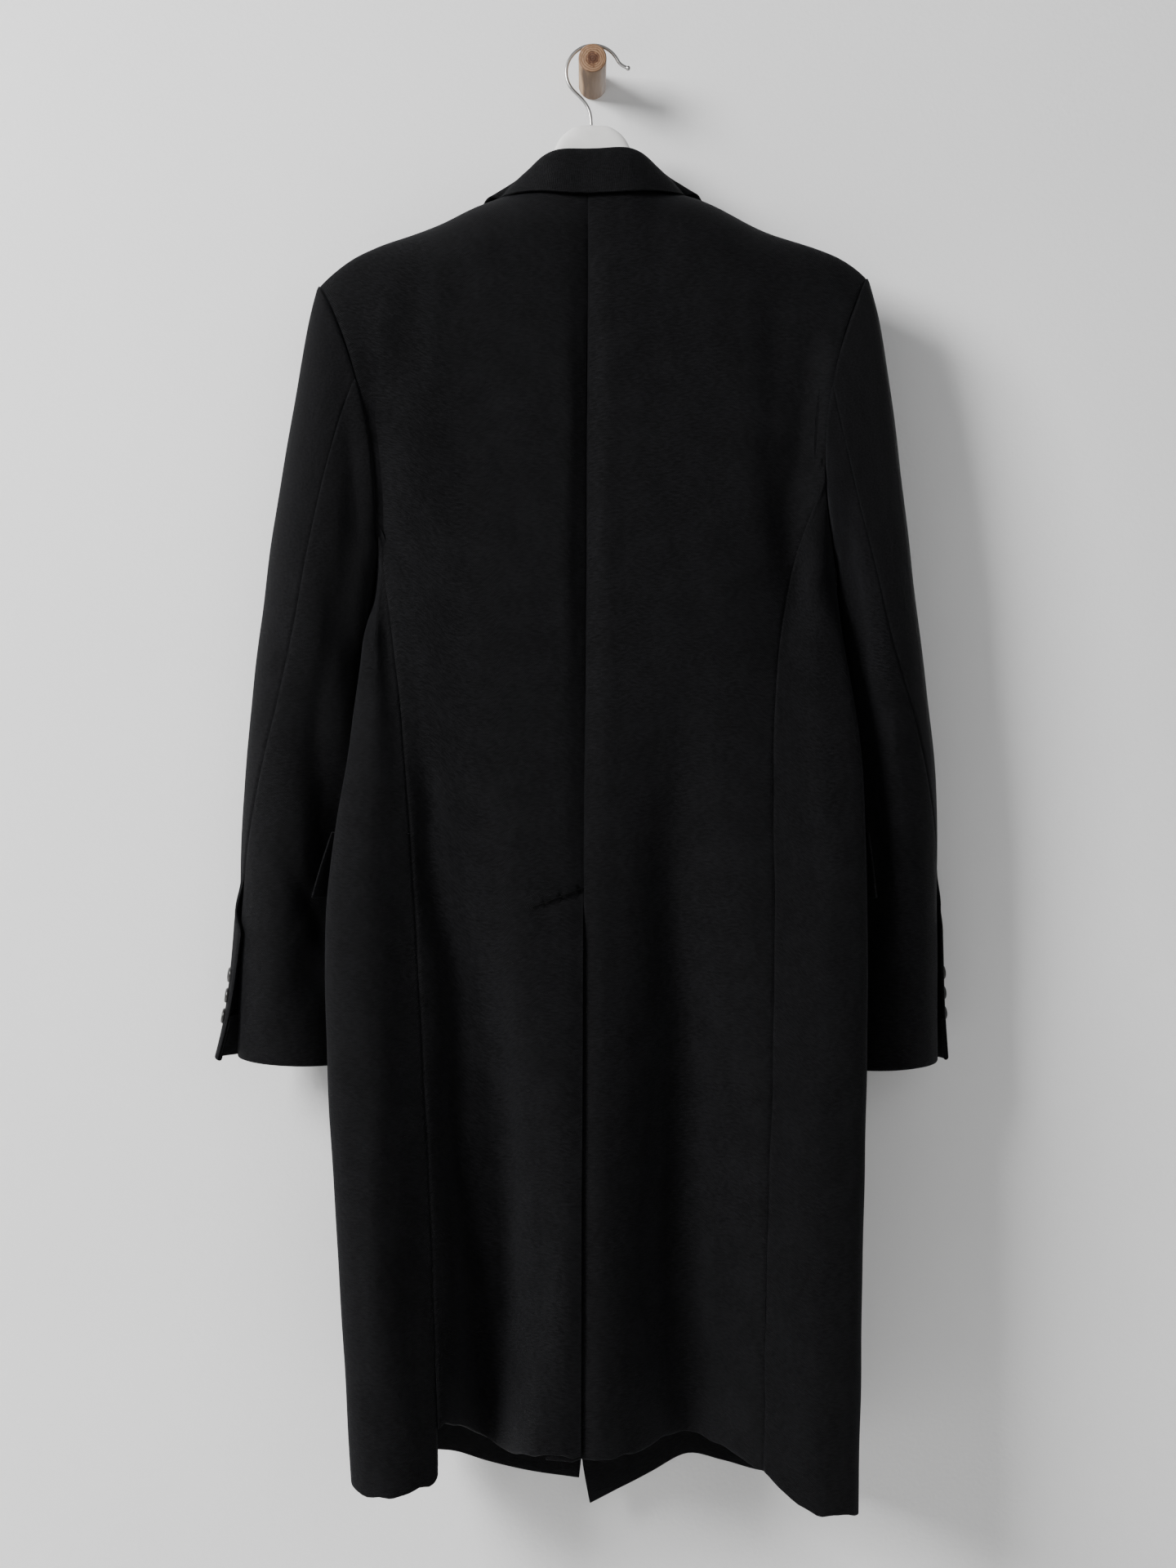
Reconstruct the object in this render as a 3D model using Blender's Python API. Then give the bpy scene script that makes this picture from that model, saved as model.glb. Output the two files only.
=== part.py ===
"""A long tailored coat that hangs by a hanger from a round wooden wall peg.

Metres, +Z up. The wall is the plane y = 0 and the room lies on its -Y side, so the coat's back
faces -Y. The origin is the centre of the peg's back face. Every panel of cloth is a sheet of
points worked out from tables by height, which Solidify makes into a wall.
"""
from collections import namedtuple

import bmesh
import bpy
import numpy as np
from mathutils import Vector

# Driving sizes
CLOTH = 0.0020          # wall of a panel
SEAM = 0.0003           # space between two panels at a seam
LAY = 0.0004            # space between a piece and the panel it lies on
VENT_TOP = -0.728       # where the centre-back vent starts
VENT_LAP = 0.030        # how far the underlap reaches under the other panel
CAP_ROUND = 0.055       # drop over which the back rounds off from the shoulder line
FRONT_ROUND = 0.035     # the same at the front
SHOULDER_Y = -0.055     # depth of the shoulder line, over the hanger
NECK_HALF = 0.072       # half the width of the neckline
NECK_BOW = 0.0235       # how far the back neckline bows towards the room
PEG_RADIUS = 0.0125
PEG_LENGTH = 0.063
WIRE = 0.0030           # hook wire's diameter
HOOK_RADIUS = 0.0242    # middle of the wire
HANGER_HALF = 0.190
HANGER_THICK = 0.014
PEG_EDGE = 0.0015       # rounding of the peg's end
HOOK_X = 0.0007         # middle of the hook's bow
BUTTON_FRONT = 0.023    # diameter of a front button
BUTTON_HEIGHT = 0.0045
BUTTON_CUFF = 0.0135    # diameter of a cuff button
CUFF_BUTTON_HEIGHT = 0.0040
CUFF_BUTTON_INSET = 0.90    # place across the top sleeve
CUFF_BUTTON_LIFT = 0.0004   # its shank of thread, past LAY
JOIN_SHARE = 0.66       # share of a panel's rows that lie below the armhole
ARM_BLEND = 0.07        # height over which the side seams turn into the armhole
SEAM_ANGLE = 0.24       # half the space of a sleeve's seam, as an angle
UNDER_LAP = 0.0030      # from the front panel outside to the one beneath
UNDER_LAP_FROM = 0.060  # where the under front starts to step back, past its edge
UNDER_LAP_RUN = 0.030   # over what width it does
UNDERLAP_EDGE = 0.0006  # where the vent's underlap starts, from the centre seam
UNDERLAP_SPREAD = 0.35  # how much further in its free edge lies
VENT_STEP = 0.0038      # space for the underlap to turn in beside the vent's edge
ARM_SPACE = 0.0010      # from the armhole to a sleeve's first ring
ARM_SPACE_TOP = 0.0005  # more at the shoulder
ARM_SPACE_UNDER = 0.0018    # more at the underarm
CUFF_LAP = 0.0050       # how far the top sleeve stands off where it laps at the vent
FLAP_LIFT = 0.0037      # from a panel's middle to the flap's
FLAP_SPREAD = 0.0016    # how much more at the flap's lower edge

LEFT, RIGHT = -1, 1

for old in list(bpy.data.objects):
    bpy.data.objects.remove(old, do_unlink=True)


def through(knots, values, at):
    """Smooth curve through one row of values per knot, held at its ends."""
    knots = np.asarray(knots, float)
    at = np.asarray(at, float)
    values = np.asarray(values, float)
    values = values.reshape(len(knots), *([1] * (at.ndim + 1 - values.ndim)), *values.shape[1:])
    values = np.broadcast_to(values, (len(knots),) + at.shape)
    slopes = np.gradient(values, knots, axis=0)
    at = np.clip(at, knots[0], knots[-1])
    low = np.clip(np.searchsorted(knots, at, side="right") - 1, 0, len(knots) - 2)
    step = knots[low + 1] - knots[low]
    t = (at - knots[low]) / step

    def pick(array, row):
        return np.take_along_axis(array, row[None], axis=0)[0]

    start, end = pick(values, low), pick(values, low + 1)
    leave, arrive = pick(slopes, low) * step, pick(slopes, low + 1) * step
    cubic = (2 * t**3 - 3 * t**2 + 1) * start + (t**3 - 2 * t**2 + t) * leave
    return cubic + (3 * t**2 - 2 * t**3) * end + (t**3 - t**2) * arrive


def column(table, name, at):
    """Smooth value of a table's column, by its first column."""
    rows = sorted(table)
    return through([row[0] for row in rows], [getattr(row, name) for row in rows], at)


def ease(t):
    """0 to 1 with flat ends."""
    t = np.clip(t, 0, 1)
    return t * t * (3 - 2 * t)


def mix(a, b, t):
    return a + (b - a) * t


# The shoulder line and the neckline, from left to right
Shoulder = namedtuple("Shoulder", "x z")
SHOULDER = [
    Shoulder(-0.239, -0.2050),
    Shoulder(-0.226, -0.1935),
    Shoulder(-0.212, -0.1825),
    Shoulder(-0.188, -0.1700),
    Shoulder(-0.140, -0.1495),
    Shoulder(-0.090, -0.1270),
    Shoulder(-0.070, -0.1200),
    Shoulder(-0.004, -0.1190),
    Shoulder(0.070, -0.1190),
    Shoulder(0.090, -0.1240),
    Shoulder(0.158, -0.1570),
    Shoulder(0.200, -0.1725),
    Shoulder(0.215, -0.1800),
    Shoulder(0.228, -0.1885),
    Shoulder(0.240, -0.1980),
]

# The back at its middle and at its two side-back seams, by height
Back = namedtuple("Back", "z middle depth side_depth")
BACK = [
    Back(-1.250, -0.0100, -0.1440, -0.1470),
    Back(-1.050, -0.0095, -0.1440, -0.1440),
    Back(-0.860, -0.0085, -0.1410, -0.1380),
    Back(-0.740, -0.0080, -0.1360, -0.1310),
    Back(-0.600, -0.0070, -0.1250, -0.1190),
    Back(-0.450, -0.0060, -0.1110, -0.1070),
    Back(-0.300, -0.0055, -0.0990, -0.0980),
    Back(-0.200, -0.0045, -0.0950, -0.0930),
    Back(-0.110, -0.0040, -0.0930, -0.0900),
]

# Soft folds of the back. Each row is one fold at one height: its line, how wide it is to the
# left and to the right, and how far it sinks towards the wall (or, below 0, stands out)
Fold = namedtuple("Fold", "z x left right depth")
FOLDS = {
    "left valley": [
        Fold(-1.250, -0.094, 0.024, 0.024, 0.0640),
        Fold(-1.160, -0.086, 0.032, 0.026, 0.0600),
        Fold(-1.060, -0.080, 0.044, 0.028, 0.0520),
        Fold(-0.950, -0.084, 0.046, 0.028, 0.0390),
        Fold(-0.820, -0.102, 0.040, 0.032, 0.0260),
        Fold(-0.700, -0.125, 0.028, 0.036, 0.0130),
        Fold(-0.600, -0.142, 0.021, 0.036, 0.0040),
        Fold(-0.520, -0.150, 0.020, 0.036, 0.0000),
    ],
    "right valley": [
        Fold(-1.250, 0.082, 0.040, 0.046, 0.0620),
        Fold(-1.130, 0.083, 0.046, 0.044, 0.0560),
        Fold(-0.980, 0.082, 0.050, 0.042, 0.0430),
        Fold(-0.820, 0.079, 0.048, 0.040, 0.0260),
        Fold(-0.680, 0.074, 0.040, 0.040, 0.0110),
        Fold(-0.560, 0.068, 0.034, 0.040, 0.0000),
    ],
    "centre seam": [
        Fold(-1.250, -0.0100, 0.010, 0.010, 0.0045),
        Fold(-0.740, -0.0080, 0.010, 0.010, 0.0035),
        Fold(-0.450, -0.0060, 0.012, 0.010, 0.0050),
        Fold(-0.200, -0.0045, 0.012, 0.010, 0.0035),
        Fold(-0.110, -0.0040, 0.012, 0.010, 0.0010),
    ],
    "left armhole hollow": [
        Fold(-0.620, -0.172, 0.022, 0.026, 0.0000),
        Fold(-0.480, -0.182, 0.020, 0.026, 0.0090),
        Fold(-0.340, -0.186, 0.020, 0.026, 0.0110),
        Fold(-0.240, -0.184, 0.020, 0.026, 0.0000),
    ],
    "right armhole hollow": [
        Fold(-0.560, 0.160, 0.026, 0.020, 0.0000),
        Fold(-0.420, 0.178, 0.026, 0.020, 0.0100),
        Fold(-0.310, 0.184, 0.026, 0.020, 0.0100),
        Fold(-0.220, 0.182, 0.026, 0.020, 0.0000),
    ],
}

# The fronts, by height: their depth, and where the two front edges lie
Front = namedtuple("Front", "z depth left_edge right_edge")
FRONT = [
    Front(-1.290, -0.0340, -0.0150, -0.0015),
    Front(-1.245, -0.0340, -0.0100, -0.0095),
    Front(-1.100, -0.0340, 0.0010, -0.0120),
    Front(-0.900, -0.0345, 0.0130, -0.0180),
    Front(-0.740, -0.0350, 0.0200, -0.0240),
    Front(-0.560, -0.0355, 0.0200, -0.0240),
    Front(-0.440, -0.0355, 0.0180, -0.0220),
    Front(-0.300, -0.0360, -0.0300, 0.0260),
    Front(-0.190, -0.0380, -0.0620, 0.0600),
    Front(-0.110, -0.0400, -0.0700, 0.0700),
]

# A section of one side, by height: the side-back seam, the ridge nearest the room, the flank,
# the wall that slants in towards the front, and the side-front seam
Side = namedtuple("Side", "z seam ridge ridge_y flank flank_y wall wall_y front")
SIDE = {
    LEFT: [
        Side(-1.250, 0.1285, 0.166, -0.160, 0.1985, -0.146, 0.184, -0.084, 0.152),
        Side(-1.020, 0.1360, 0.180, -0.156, 0.2130, -0.141, 0.192, -0.082, 0.158),
        Side(-0.860, 0.1440, 0.190, -0.149, 0.2230, -0.135, 0.199, -0.080, 0.163),
        Side(-0.740, 0.1510, 0.193, -0.140, 0.2235, -0.127, 0.201, -0.077, 0.166),
        Side(-0.600, 0.1620, 0.186, -0.124, 0.2060, -0.112, 0.193, -0.072, 0.168),
        Side(-0.500, 0.1740, 0.188, -0.110, 0.1960, -0.098, 0.188, -0.066, 0.170),
        Side(-0.380, 0.1930, 0.197, -0.100, 0.1990, -0.090, 0.190, -0.062, 0.176),
    ],
    RIGHT: [
        Side(-1.250, 0.1430, 0.188, -0.161, 0.2205, -0.148, 0.198, -0.084, 0.168),
        Side(-1.020, 0.1460, 0.192, -0.156, 0.2252, -0.142, 0.201, -0.082, 0.170),
        Side(-0.880, 0.1510, 0.196, -0.150, 0.2290, -0.137, 0.205, -0.080, 0.174),
        Side(-0.740, 0.1530, 0.199, -0.140, 0.2310, -0.128, 0.208, -0.077, 0.178),
        Side(-0.600, 0.1540, 0.196, -0.124, 0.2260, -0.116, 0.204, -0.074, 0.180),
        Side(-0.500, 0.1630, 0.194, -0.111, 0.2120, -0.102, 0.199, -0.069, 0.182),
        Side(-0.380, 0.1940, 0.203, -0.101, 0.2080, -0.092, 0.199, -0.064, 0.186),
    ],
}
SIDE_KNOTS = (-0.03, 0.0, 0.26, 0.48, 0.78, 1.0, 1.03)
SIDE_LEAD = 0.004       # how far past its seams a side follows the back and the front

# Height of the hem, by x, along the back with its two sides and along the fronts
Hem = namedtuple("Hem", "x z")
BACK_HEM = [
    Hem(-0.205, -1.223),
    Hem(-0.190, -1.231),
    Hem(-0.165, -1.229),
    Hem(-0.145, -1.225),
    Hem(-0.129, -1.2190),
    Hem(-0.1225, -1.2010),
    Hem(-0.1150, -1.1970),
    Hem(-0.0980, -1.1985),
    Hem(-0.060, -1.2055),
    Hem(-0.010, -1.207),
    Hem(0.070, -1.203),
    Hem(0.110, -1.206),
    Hem(0.143, -1.219),
    Hem(0.180, -1.241),
    Hem(0.222, -1.2475),
]
FRONT_HEM = [
    Hem(-0.200, -1.226),
    Hem(-0.150, -1.236),
    Hem(-0.124, -1.238),
    Hem(-0.094, -1.247),
    Hem(-0.060, -1.255),
    Hem(-0.013, -1.262),
]
FRONT_HEM_RIGHT = [
    Hem(-0.003, -1.284),
    Hem(0.026, -1.269),
    Hem(0.053, -1.256),
    Hem(0.085, -1.240),
    Hem(0.116, -1.246),
    Hem(0.155, -1.256),
    Hem(0.215, -1.249),
]

# Rings down a sleeve. The outer and the inner point of each lie in a plane y = const, the ring
# goes from back to front in depth, and inset draws its back and front in towards the body
Sleeve = namedtuple("Sleeve", "share outer outer_z inner inner_z back front inset seam")
SLEEVE = {
    LEFT: [
        Sleeve(0.00, 0.2390, -0.2050, 0.1900, -0.4560, -0.1020, -0.0370, 0.020, 72),
        Sleeve(0.08, 0.2480, -0.2400, 0.1925, -0.4680, -0.1070, -0.0330, 0.012, 75),
        Sleeve(0.18, 0.2590, -0.2980, 0.1960, -0.4850, -0.1100, -0.0290, 0.005, 78),
        Sleeve(0.32, 0.2750, -0.3930, 0.1990, -0.5200, -0.1100, -0.0270, 0.000, 78),
        Sleeve(0.46, 0.2875, -0.4760, 0.2010, -0.5700, -0.1080, -0.0250, 0.000, 72),
        Sleeve(0.60, 0.2980, -0.5600, 0.2040, -0.6300, -0.1060, -0.0220, 0.000, 60),
        Sleeve(0.76, 0.3065, -0.6600, 0.2100, -0.7050, -0.1050, -0.0190, 0.000, 42),
        Sleeve(0.88, 0.3105, -0.7650, 0.2150, -0.7850, -0.1040, -0.0170, 0.000, 20),
        Sleeve(1.00, 0.3120, -0.8790, 0.2180, -0.8845, -0.1030, -0.0160, 0.000, 8),
    ],
    RIGHT: [
        Sleeve(0.00, 0.2400, -0.1980, 0.2120, -0.4500, -0.1010, -0.0370, 0.024, 78),
        Sleeve(0.08, 0.2500, -0.2350, 0.2140, -0.4620, -0.1050, -0.0330, 0.014, 92),
        Sleeve(0.18, 0.2610, -0.2980, 0.2160, -0.4800, -0.1060, -0.0290, 0.006, 98),
        Sleeve(0.32, 0.2730, -0.3930, 0.2188, -0.5150, -0.1050, -0.0270, 0.000, 94),
        Sleeve(0.46, 0.2825, -0.4760, 0.2200, -0.5650, -0.1040, -0.0240, 0.000, 80),
        Sleeve(0.60, 0.2935, -0.5600, 0.2215, -0.6250, -0.1030, -0.0200, 0.000, 60),
        Sleeve(0.76, 0.3025, -0.6600, 0.2220, -0.7050, -0.1030, -0.0170, 0.000, 33),
        Sleeve(0.88, 0.3030, -0.7650, 0.2205, -0.7850, -0.1030, -0.0160, 0.000, -4),
        Sleeve(1.00, 0.3035, -0.8830, 0.2190, -0.8880, -0.1030, -0.0150, 0.000, -18),
    ],
}
SEAM_FRONT = 245        # angle of a sleeve's front seam, from its outer edge round by the back
JOIN_BACK = {LEFT: 140, RIGHT: 110}    # where the side-back seam meets the armhole
JOIN_FRONT = -125                      # where the side-front seam meets it
JOIN_SPACE = 0.8        # space between the panels there, as an angle
VENT_SHARE = 0.865      # where a cuff vent starts, down the sleeve
VENT_ANGLE = 18         # how far the top sleeve laps over the under sleeve there
FLARE = {LEFT: 0.0150, RIGHT: 0.0060}  # how far the vent's corner stands out

# The collar, from the centre of the neck round to its front end: the neck seam, the roll line,
# and the free edge, which lies fall_drop below the shoulder line
Collar = namedtuple("Collar", "share base base_y base_drop roll roll_y roll_z fall fall_drop")
COLLAR = [
    Collar(0.00, 0.0000, -0.0785, 0.000, 0.0000, -0.0835, -0.0885, 0.0000, 0.0165),
    Collar(0.25, 0.0360, -0.0762, 0.000, 0.0350, -0.0810, -0.0890, 0.0430, 0.0155),
    Collar(0.40, 0.0580, -0.0612, 0.000, 0.0500, -0.0700, -0.0950, 0.0760, 0.0084),
    Collar(0.50, 0.0662, -0.0558, 0.000, 0.0625, -0.0560, -0.1040, 0.0905, 0.0000),
    Collar(0.65, 0.0630, -0.0440, 0.012, 0.0665, -0.0410, -0.1180, 0.1000, 0.0080),
    Collar(0.85, 0.0590, -0.0360, 0.035, 0.0640, -0.0310, -0.1420, 0.1080, 0.0280),
    Collar(1.00, 0.0550, -0.0340, 0.052, 0.0610, -0.0290, -0.1640, 0.1150, 0.0480),
]
COLLAR_TILT = 0.030     # the collar sits a little higher to the right
ROLL = 0.0022           # radius of the collar's fold
REST = 0.0061           # from a panel's middle to that of the fall lying on it

# A lapel's width outside its roll line, by height
Lapel = namedtuple("Lapel", "z width")
LAPEL = [
    Lapel(-0.430, 0.004),
    Lapel(-0.370, 0.036),
    Lapel(-0.300, 0.060),
    Lapel(-0.230, 0.076),
    Lapel(-0.200, 0.080),
]
LAPEL_BREAK = {LEFT: -0.430, RIGHT: -0.374}
LAPEL_GORGE = -0.171
LAPEL_BULGE = 0.0010    # how far the middle of a lapel stands off the front
GORGE_FALL = 0.030      # how much lower the lapel's point is than the gorge at the roll line

# The hip flaps, the buttons' heights and the hook's line, in x and z, before and after its bow
FLAP_TOP = -0.682
FLAP_HEIGHT = 0.056
FLAP_REACH = 0.085      # on to the front panel
FLAP_CORNER = {LEFT: 0.0090, RIGHT: 0.0040}  # how far its rear corner stands out

BUTTON_HEIGHTS = (-0.470, -0.590, -0.710)
CUFF_BUTTONS = {LEFT: (-0.808, -0.826, -0.844), RIGHT: (-0.808, -0.826, -0.844)}
STEM = [(-0.0011, -0.0568), (-0.0018, -0.0478), (-0.0045, -0.0400), (-0.0105, -0.0325)]
TIP = [(0.0272, -0.0045), (0.0315, -0.0062)]

# The hanger, from its middle to an end
Hanger = namedtuple("Hanger", "x top bottom")
HANGER = [
    Hanger(0.000, -0.0573, -0.1000),
    Hanger(0.018, -0.0600, -0.1020),
    Hanger(0.030, -0.0710, -0.1060),
    Hanger(0.040, -0.0920, -0.1140),
    Hanger(0.052, -0.1150, -0.1280),
    Hanger(0.070, -0.1235, -0.1400),
    Hanger(0.090, -0.1296, -0.1470),
    Hanger(0.140, -0.1524, -0.1720),
    Hanger(0.174, -0.1680, -0.1890),
    Hanger(0.186, -0.1755, -0.1915),
    Hanger(HANGER_HALF, -0.1810, -0.1850),
]


def shoulder_z(x):
    return column(SHOULDER, "z", x)


def shoulder_y(x):
    """The shoulder line runs over the hanger and bows towards the room behind the neck."""
    return SHOULDER_Y - NECK_BOW * ease((NECK_HALF - abs(x)) / 0.045)


def rounded(y, x, z, drop):
    """Rounds a panel's depth over to the shoulder line within that drop below it."""
    share = np.clip((shoulder_z(x) - z) / drop, 0, 1)
    return mix(shoulder_y(x), y, np.sqrt(1 - (1 - share) ** 2))


def back_depth(x, z):
    away = np.clip(abs(x - column(BACK, "middle", z)) / 0.15, 0, 1.3)
    y = mix(column(BACK, "depth", z), column(BACK, "side_depth", z), away**2)
    for rows in FOLDS.values():
        shift = x - column(rows, "x", z)
        width = np.where(shift < 0, column(rows, "left", z), column(rows, "right", z))
        y = y + column(rows, "depth", z) * np.exp(-((shift / width) ** 2))
    return rounded(y, x, z, CAP_ROUND)


def front_depth(x, z):
    return rounded(column(FRONT, "depth", z), x, z, FRONT_ROUND)


def side_ring(side, z, share):
    """Round one side at a height: share 0 is the side-back seam and 1 the side-front seam."""
    rows = SIDE[side]
    seam = side * column(rows, "seam", z)
    front = side * column(rows, "front", z)
    before, after = seam - side * SIDE_LEAD, front - side * SIDE_LEAD
    across = [before, seam]
    across += [side * column(rows, name, z) for name in ("ridge", "flank", "wall")]
    across += [front, after]
    depth = [back_depth(before, z), back_depth(seam, z)]
    depth += [column(rows, name, z) for name in ("ridge_y", "flank_y", "wall_y")]
    depth += [front_depth(front, z), front_depth(after, z)]
    return through(SIDE_KNOTS, across, share), through(SIDE_KNOTS, depth, share)


def sleeve_ring(side, share, angle, out=0.0):
    """A point of a sleeve: angle 0 is its outer edge, 90 its back, 180 its inner edge."""
    row = {name: column(SLEEVE[side], name, share) for name in Sleeve._fields[1:]}
    turn = np.radians(angle)
    half = (row["outer"] - row["inner"]) / 2
    x = (row["outer"] + row["inner"]) / 2 + (half + out) * np.cos(turn)
    x = x - row["inset"] * np.sin(turn) ** 2
    y = mix(row["front"], row["back"], 0.5) + ((row["back"] - row["front"]) / 2 - out) * np.sin(turn)
    z = mix(row["inner_z"], row["outer_z"], (1 + np.cos(turn)) / 2)
    return side * x, y, z


def armhole(side, angle):
    return sleeve_ring(side, 0.0 * angle, angle)


def outer_edge(side, v, join, hem, seam_name, face):
    """The outer edge of a back or a front: up its side seam, then round the armhole."""
    ax, ay, az = armhole(side, np.float64(join))
    z = mix(hem, az, np.clip(v / JOIN_SHARE, 0, 1))
    near = ease(1 - (az - z) / ARM_BLEND)
    seam = side * column(SIDE[side], seam_name, z)
    seam = seam + (ax - side * column(SIDE[side], seam_name, az)) * near
    depth = face(seam, z) + (ay - face(ax, az)) * near
    rise = np.clip((v - JOIN_SHARE) / (1 - JOIN_SHARE), 0, 1)
    hx, hy, hz = armhole(side, join * (1 - rise))
    below = v <= JOIN_SHARE
    return np.where(below, seam, hx), np.where(below, depth, hy), np.where(below, z, hz)


def panel(side, u, v, face, middle_x, hem_rows, join, seam_name):
    """A back or a front: u from its middle edge to its outer one, v from the hem to the top."""
    middle_hem = column(hem_rows, "z", middle_x(np.float64(-1.22)))
    seam_hem = side * column(SIDE[side], seam_name, -1.22)
    hem_outer = column(hem_rows, "z", seam_hem)
    ex, ey, ez = outer_edge(side, v, join, hem_outer, seam_name, face)
    join_z = armhole(side, np.float64(join))[2]
    climb = np.clip(v / JOIN_SHARE, 0, 1)
    rise = np.clip((v - JOIN_SHARE) / (1 - JOIN_SHARE), 0, 1)
    top_z = shoulder_z(middle_x(np.float64(-0.119)))
    mz = np.where(v <= JOIN_SHARE, mix(middle_hem, join_z, climb), mix(join_z, top_z, rise))
    mx = middle_x(mz)
    x = mix(mx, ex, u)
    z = mix(mz, ez, u)
    tip_z = armhole(side, np.float64(0.0))[2]
    z = z + rise**3 * (shoulder_z(x) - mix(top_z, tip_z, u))
    z = z + (column(hem_rows, "z", x) - mix(middle_hem, hem_outer, u)) * (1 - climb) ** 2
    y = face(x, z) + (ey - face(ex, ez)) * ease((u - 0.5) / 0.5)
    return x, y, z


def back_panel(side, u, v):
    def middle_x(z):
        return column(BACK, "middle", z) + side * SEAM / 2

    x, y, z = panel(side, np.clip(u, 0, 1), v, back_depth, middle_x, BACK_HEM,
                    JOIN_BACK[side], "seam")
    if side == RIGHT:
        vent = v <= VENT_SHARE_BACK + 1e-6
        x = np.where(vent & (u <= 0), x + VENT_STEP, x)
        x = np.where(u < 0, column(BACK, "middle", z) - mix(UNDERLAP_EDGE, VENT_LAP, (-u - 1) / 2), x)
        y = np.where(u < 0, back_depth(x, z) + UNDER_LAP * (1 + UNDERLAP_SPREAD * (-u - 1) / 2), y)
    return x, y - SEAM / 2, z


def front_panel(side, u, v):
    def middle_x(z):
        return column(FRONT, "left_edge" if side == LEFT else "right_edge", z)

    rows = FRONT_HEM if side == LEFT else FRONT_HEM_RIGHT
    x, y, z = panel(side, u, v, front_depth, middle_x, rows, JOIN_FRONT, "front")
    if side == RIGHT:
        y = y - UNDER_LAP * ease((UNDER_LAP_FROM - x) / UNDER_LAP_RUN)
    return x, y + SEAM / 2, z


def side_panel(side, u, v):
    share = mix(0.0034, 0.9958, u)
    ax, ay, az = armhole(side, mix(JOIN_BACK[side] + JOIN_SPACE, 360 + JOIN_FRONT - JOIN_SPACE, u))
    foot = side_ring(side, -1.225 + 0 * u, share)[0]
    front_rows = FRONT_HEM if side == LEFT else FRONT_HEM_RIGHT
    hem = mix(column(BACK_HEM, "z", foot), column(front_rows, "z", foot), ease((share - 0.4) / 0.3))
    z = mix(hem, az, v)
    near = ease(1 - (az - z) / ARM_BLEND)
    x, y = side_ring(side, z, share)
    top_x, top_y = side_ring(side, az, share)
    return x + near * (ax - top_x), y + near * (ay - top_y), z


def armhole_space(side, share, angle):
    """Draws a sleeve's first rings out of the body's edge, most at the underarm."""
    turn = np.cos(np.radians(angle))
    space = ARM_SPACE + ARM_SPACE_TOP * np.clip(turn, 0, 1) + ARM_SPACE_UNDER * np.clip(-turn, 0, 1)
    return side * space * (1 - ease(share / 0.2))


def top_sleeve(side, u, v):
    seam = column(SLEEVE[side], "seam", v)
    lap = VENT_ANGLE * ease((v - VENT_SHARE) / 0.02)
    angle = mix(SEAM_FRONT - 360 + SEAM_ANGLE, seam + lap - SEAM_ANGLE, u)
    open_share = np.clip((v - VENT_SHARE) / (1 - VENT_SHARE), 0, 1)
    out = CUFF_LAP * ease((v - VENT_SHARE + 0.04) / 0.04) * ease((angle - seam + 16) / 13)
    out = out + FLARE[side] * open_share**2 * ease((angle - seam + 40) / 50)
    x, y, z = sleeve_ring(side, v, angle, out)
    return x + armhole_space(side, v, angle), y, z


def under_sleeve(side, u, v):
    seam = column(SLEEVE[side], "seam", v)
    angle = mix(seam + SEAM_ANGLE, SEAM_FRONT - SEAM_ANGLE, u)
    x, y, z = sleeve_ring(side, v, angle)
    return x + armhole_space(side, v, angle), y, z


def collar(share, across):
    """share -1 to 1 round the neck, across 0 at the neck seam to 1 at the free edge."""
    side = np.where(share < 0, -1.0, 1.0)
    row = {name: column(COLLAR, name, abs(share)) for name in Collar._fields[1:]}
    base = np.stack([side * row["base"], row["base_y"],
                     shoulder_z(side * row["base"]) + CLOTH / 2 + SEAM - row["base_drop"]])
    roll = np.stack([side * row["roll"], row["roll_y"], row["roll_z"] + COLLAR_TILT * side * row["roll"]])
    fx = side * row["fall"]
    fz = shoulder_z(fx) + REST - row["fall_drop"]
    on_back = back_depth(fx, np.minimum(fz, shoulder_z(fx)))
    on_front = front_depth(fx, np.minimum(fz, shoulder_z(fx)))
    lean = np.clip(abs(share), 0, 1)
    turned = np.clip(2.2 * np.cos(np.pi * lean), -1, 1)
    fy = np.where(lean < 0.5, on_back, on_front) - REST * turned
    edge = np.stack([fx, fy, fz])
    outwards = edge - base
    outwards[2] = 0
    outwards = outwards / np.linalg.norm(outwards, axis=0)
    up = np.zeros_like(outwards)
    up[2] = 1
    inner = roll - outwards * ROLL - up * ROLL
    outer = roll + outwards * ROLL - up * ROLL
    shift = ROLL * 0.3 * (outwards + up)
    stops = [base, mix(base, inner, 0.5), inner, roll, outer, mix(outer, edge, 0.5) + shift, edge]
    knots = (0, 0.2, 0.4, 0.48, 0.56, 0.78, 1)
    return tuple(through(knots, [stop[axis] for stop in stops], across) for axis in range(3))


def lapel(side, u, v):
    """u from the roll line to the outer edge, v from the break up to the gorge."""
    z = mix(LAPEL_BREAK[side], LAPEL_GORGE, v)
    edge = column(FRONT, "left_edge" if side == LEFT else "right_edge", z)
    x = edge + side * (0.0012 + u * column(LAPEL, "width", z))
    z = z - GORGE_FALL * u * v**3
    lift = SEAM / 2 + CLOTH + LAY + LAPEL_BULGE * np.sin(np.pi * u)
    return x, front_depth(x, z) + lift, z


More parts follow.
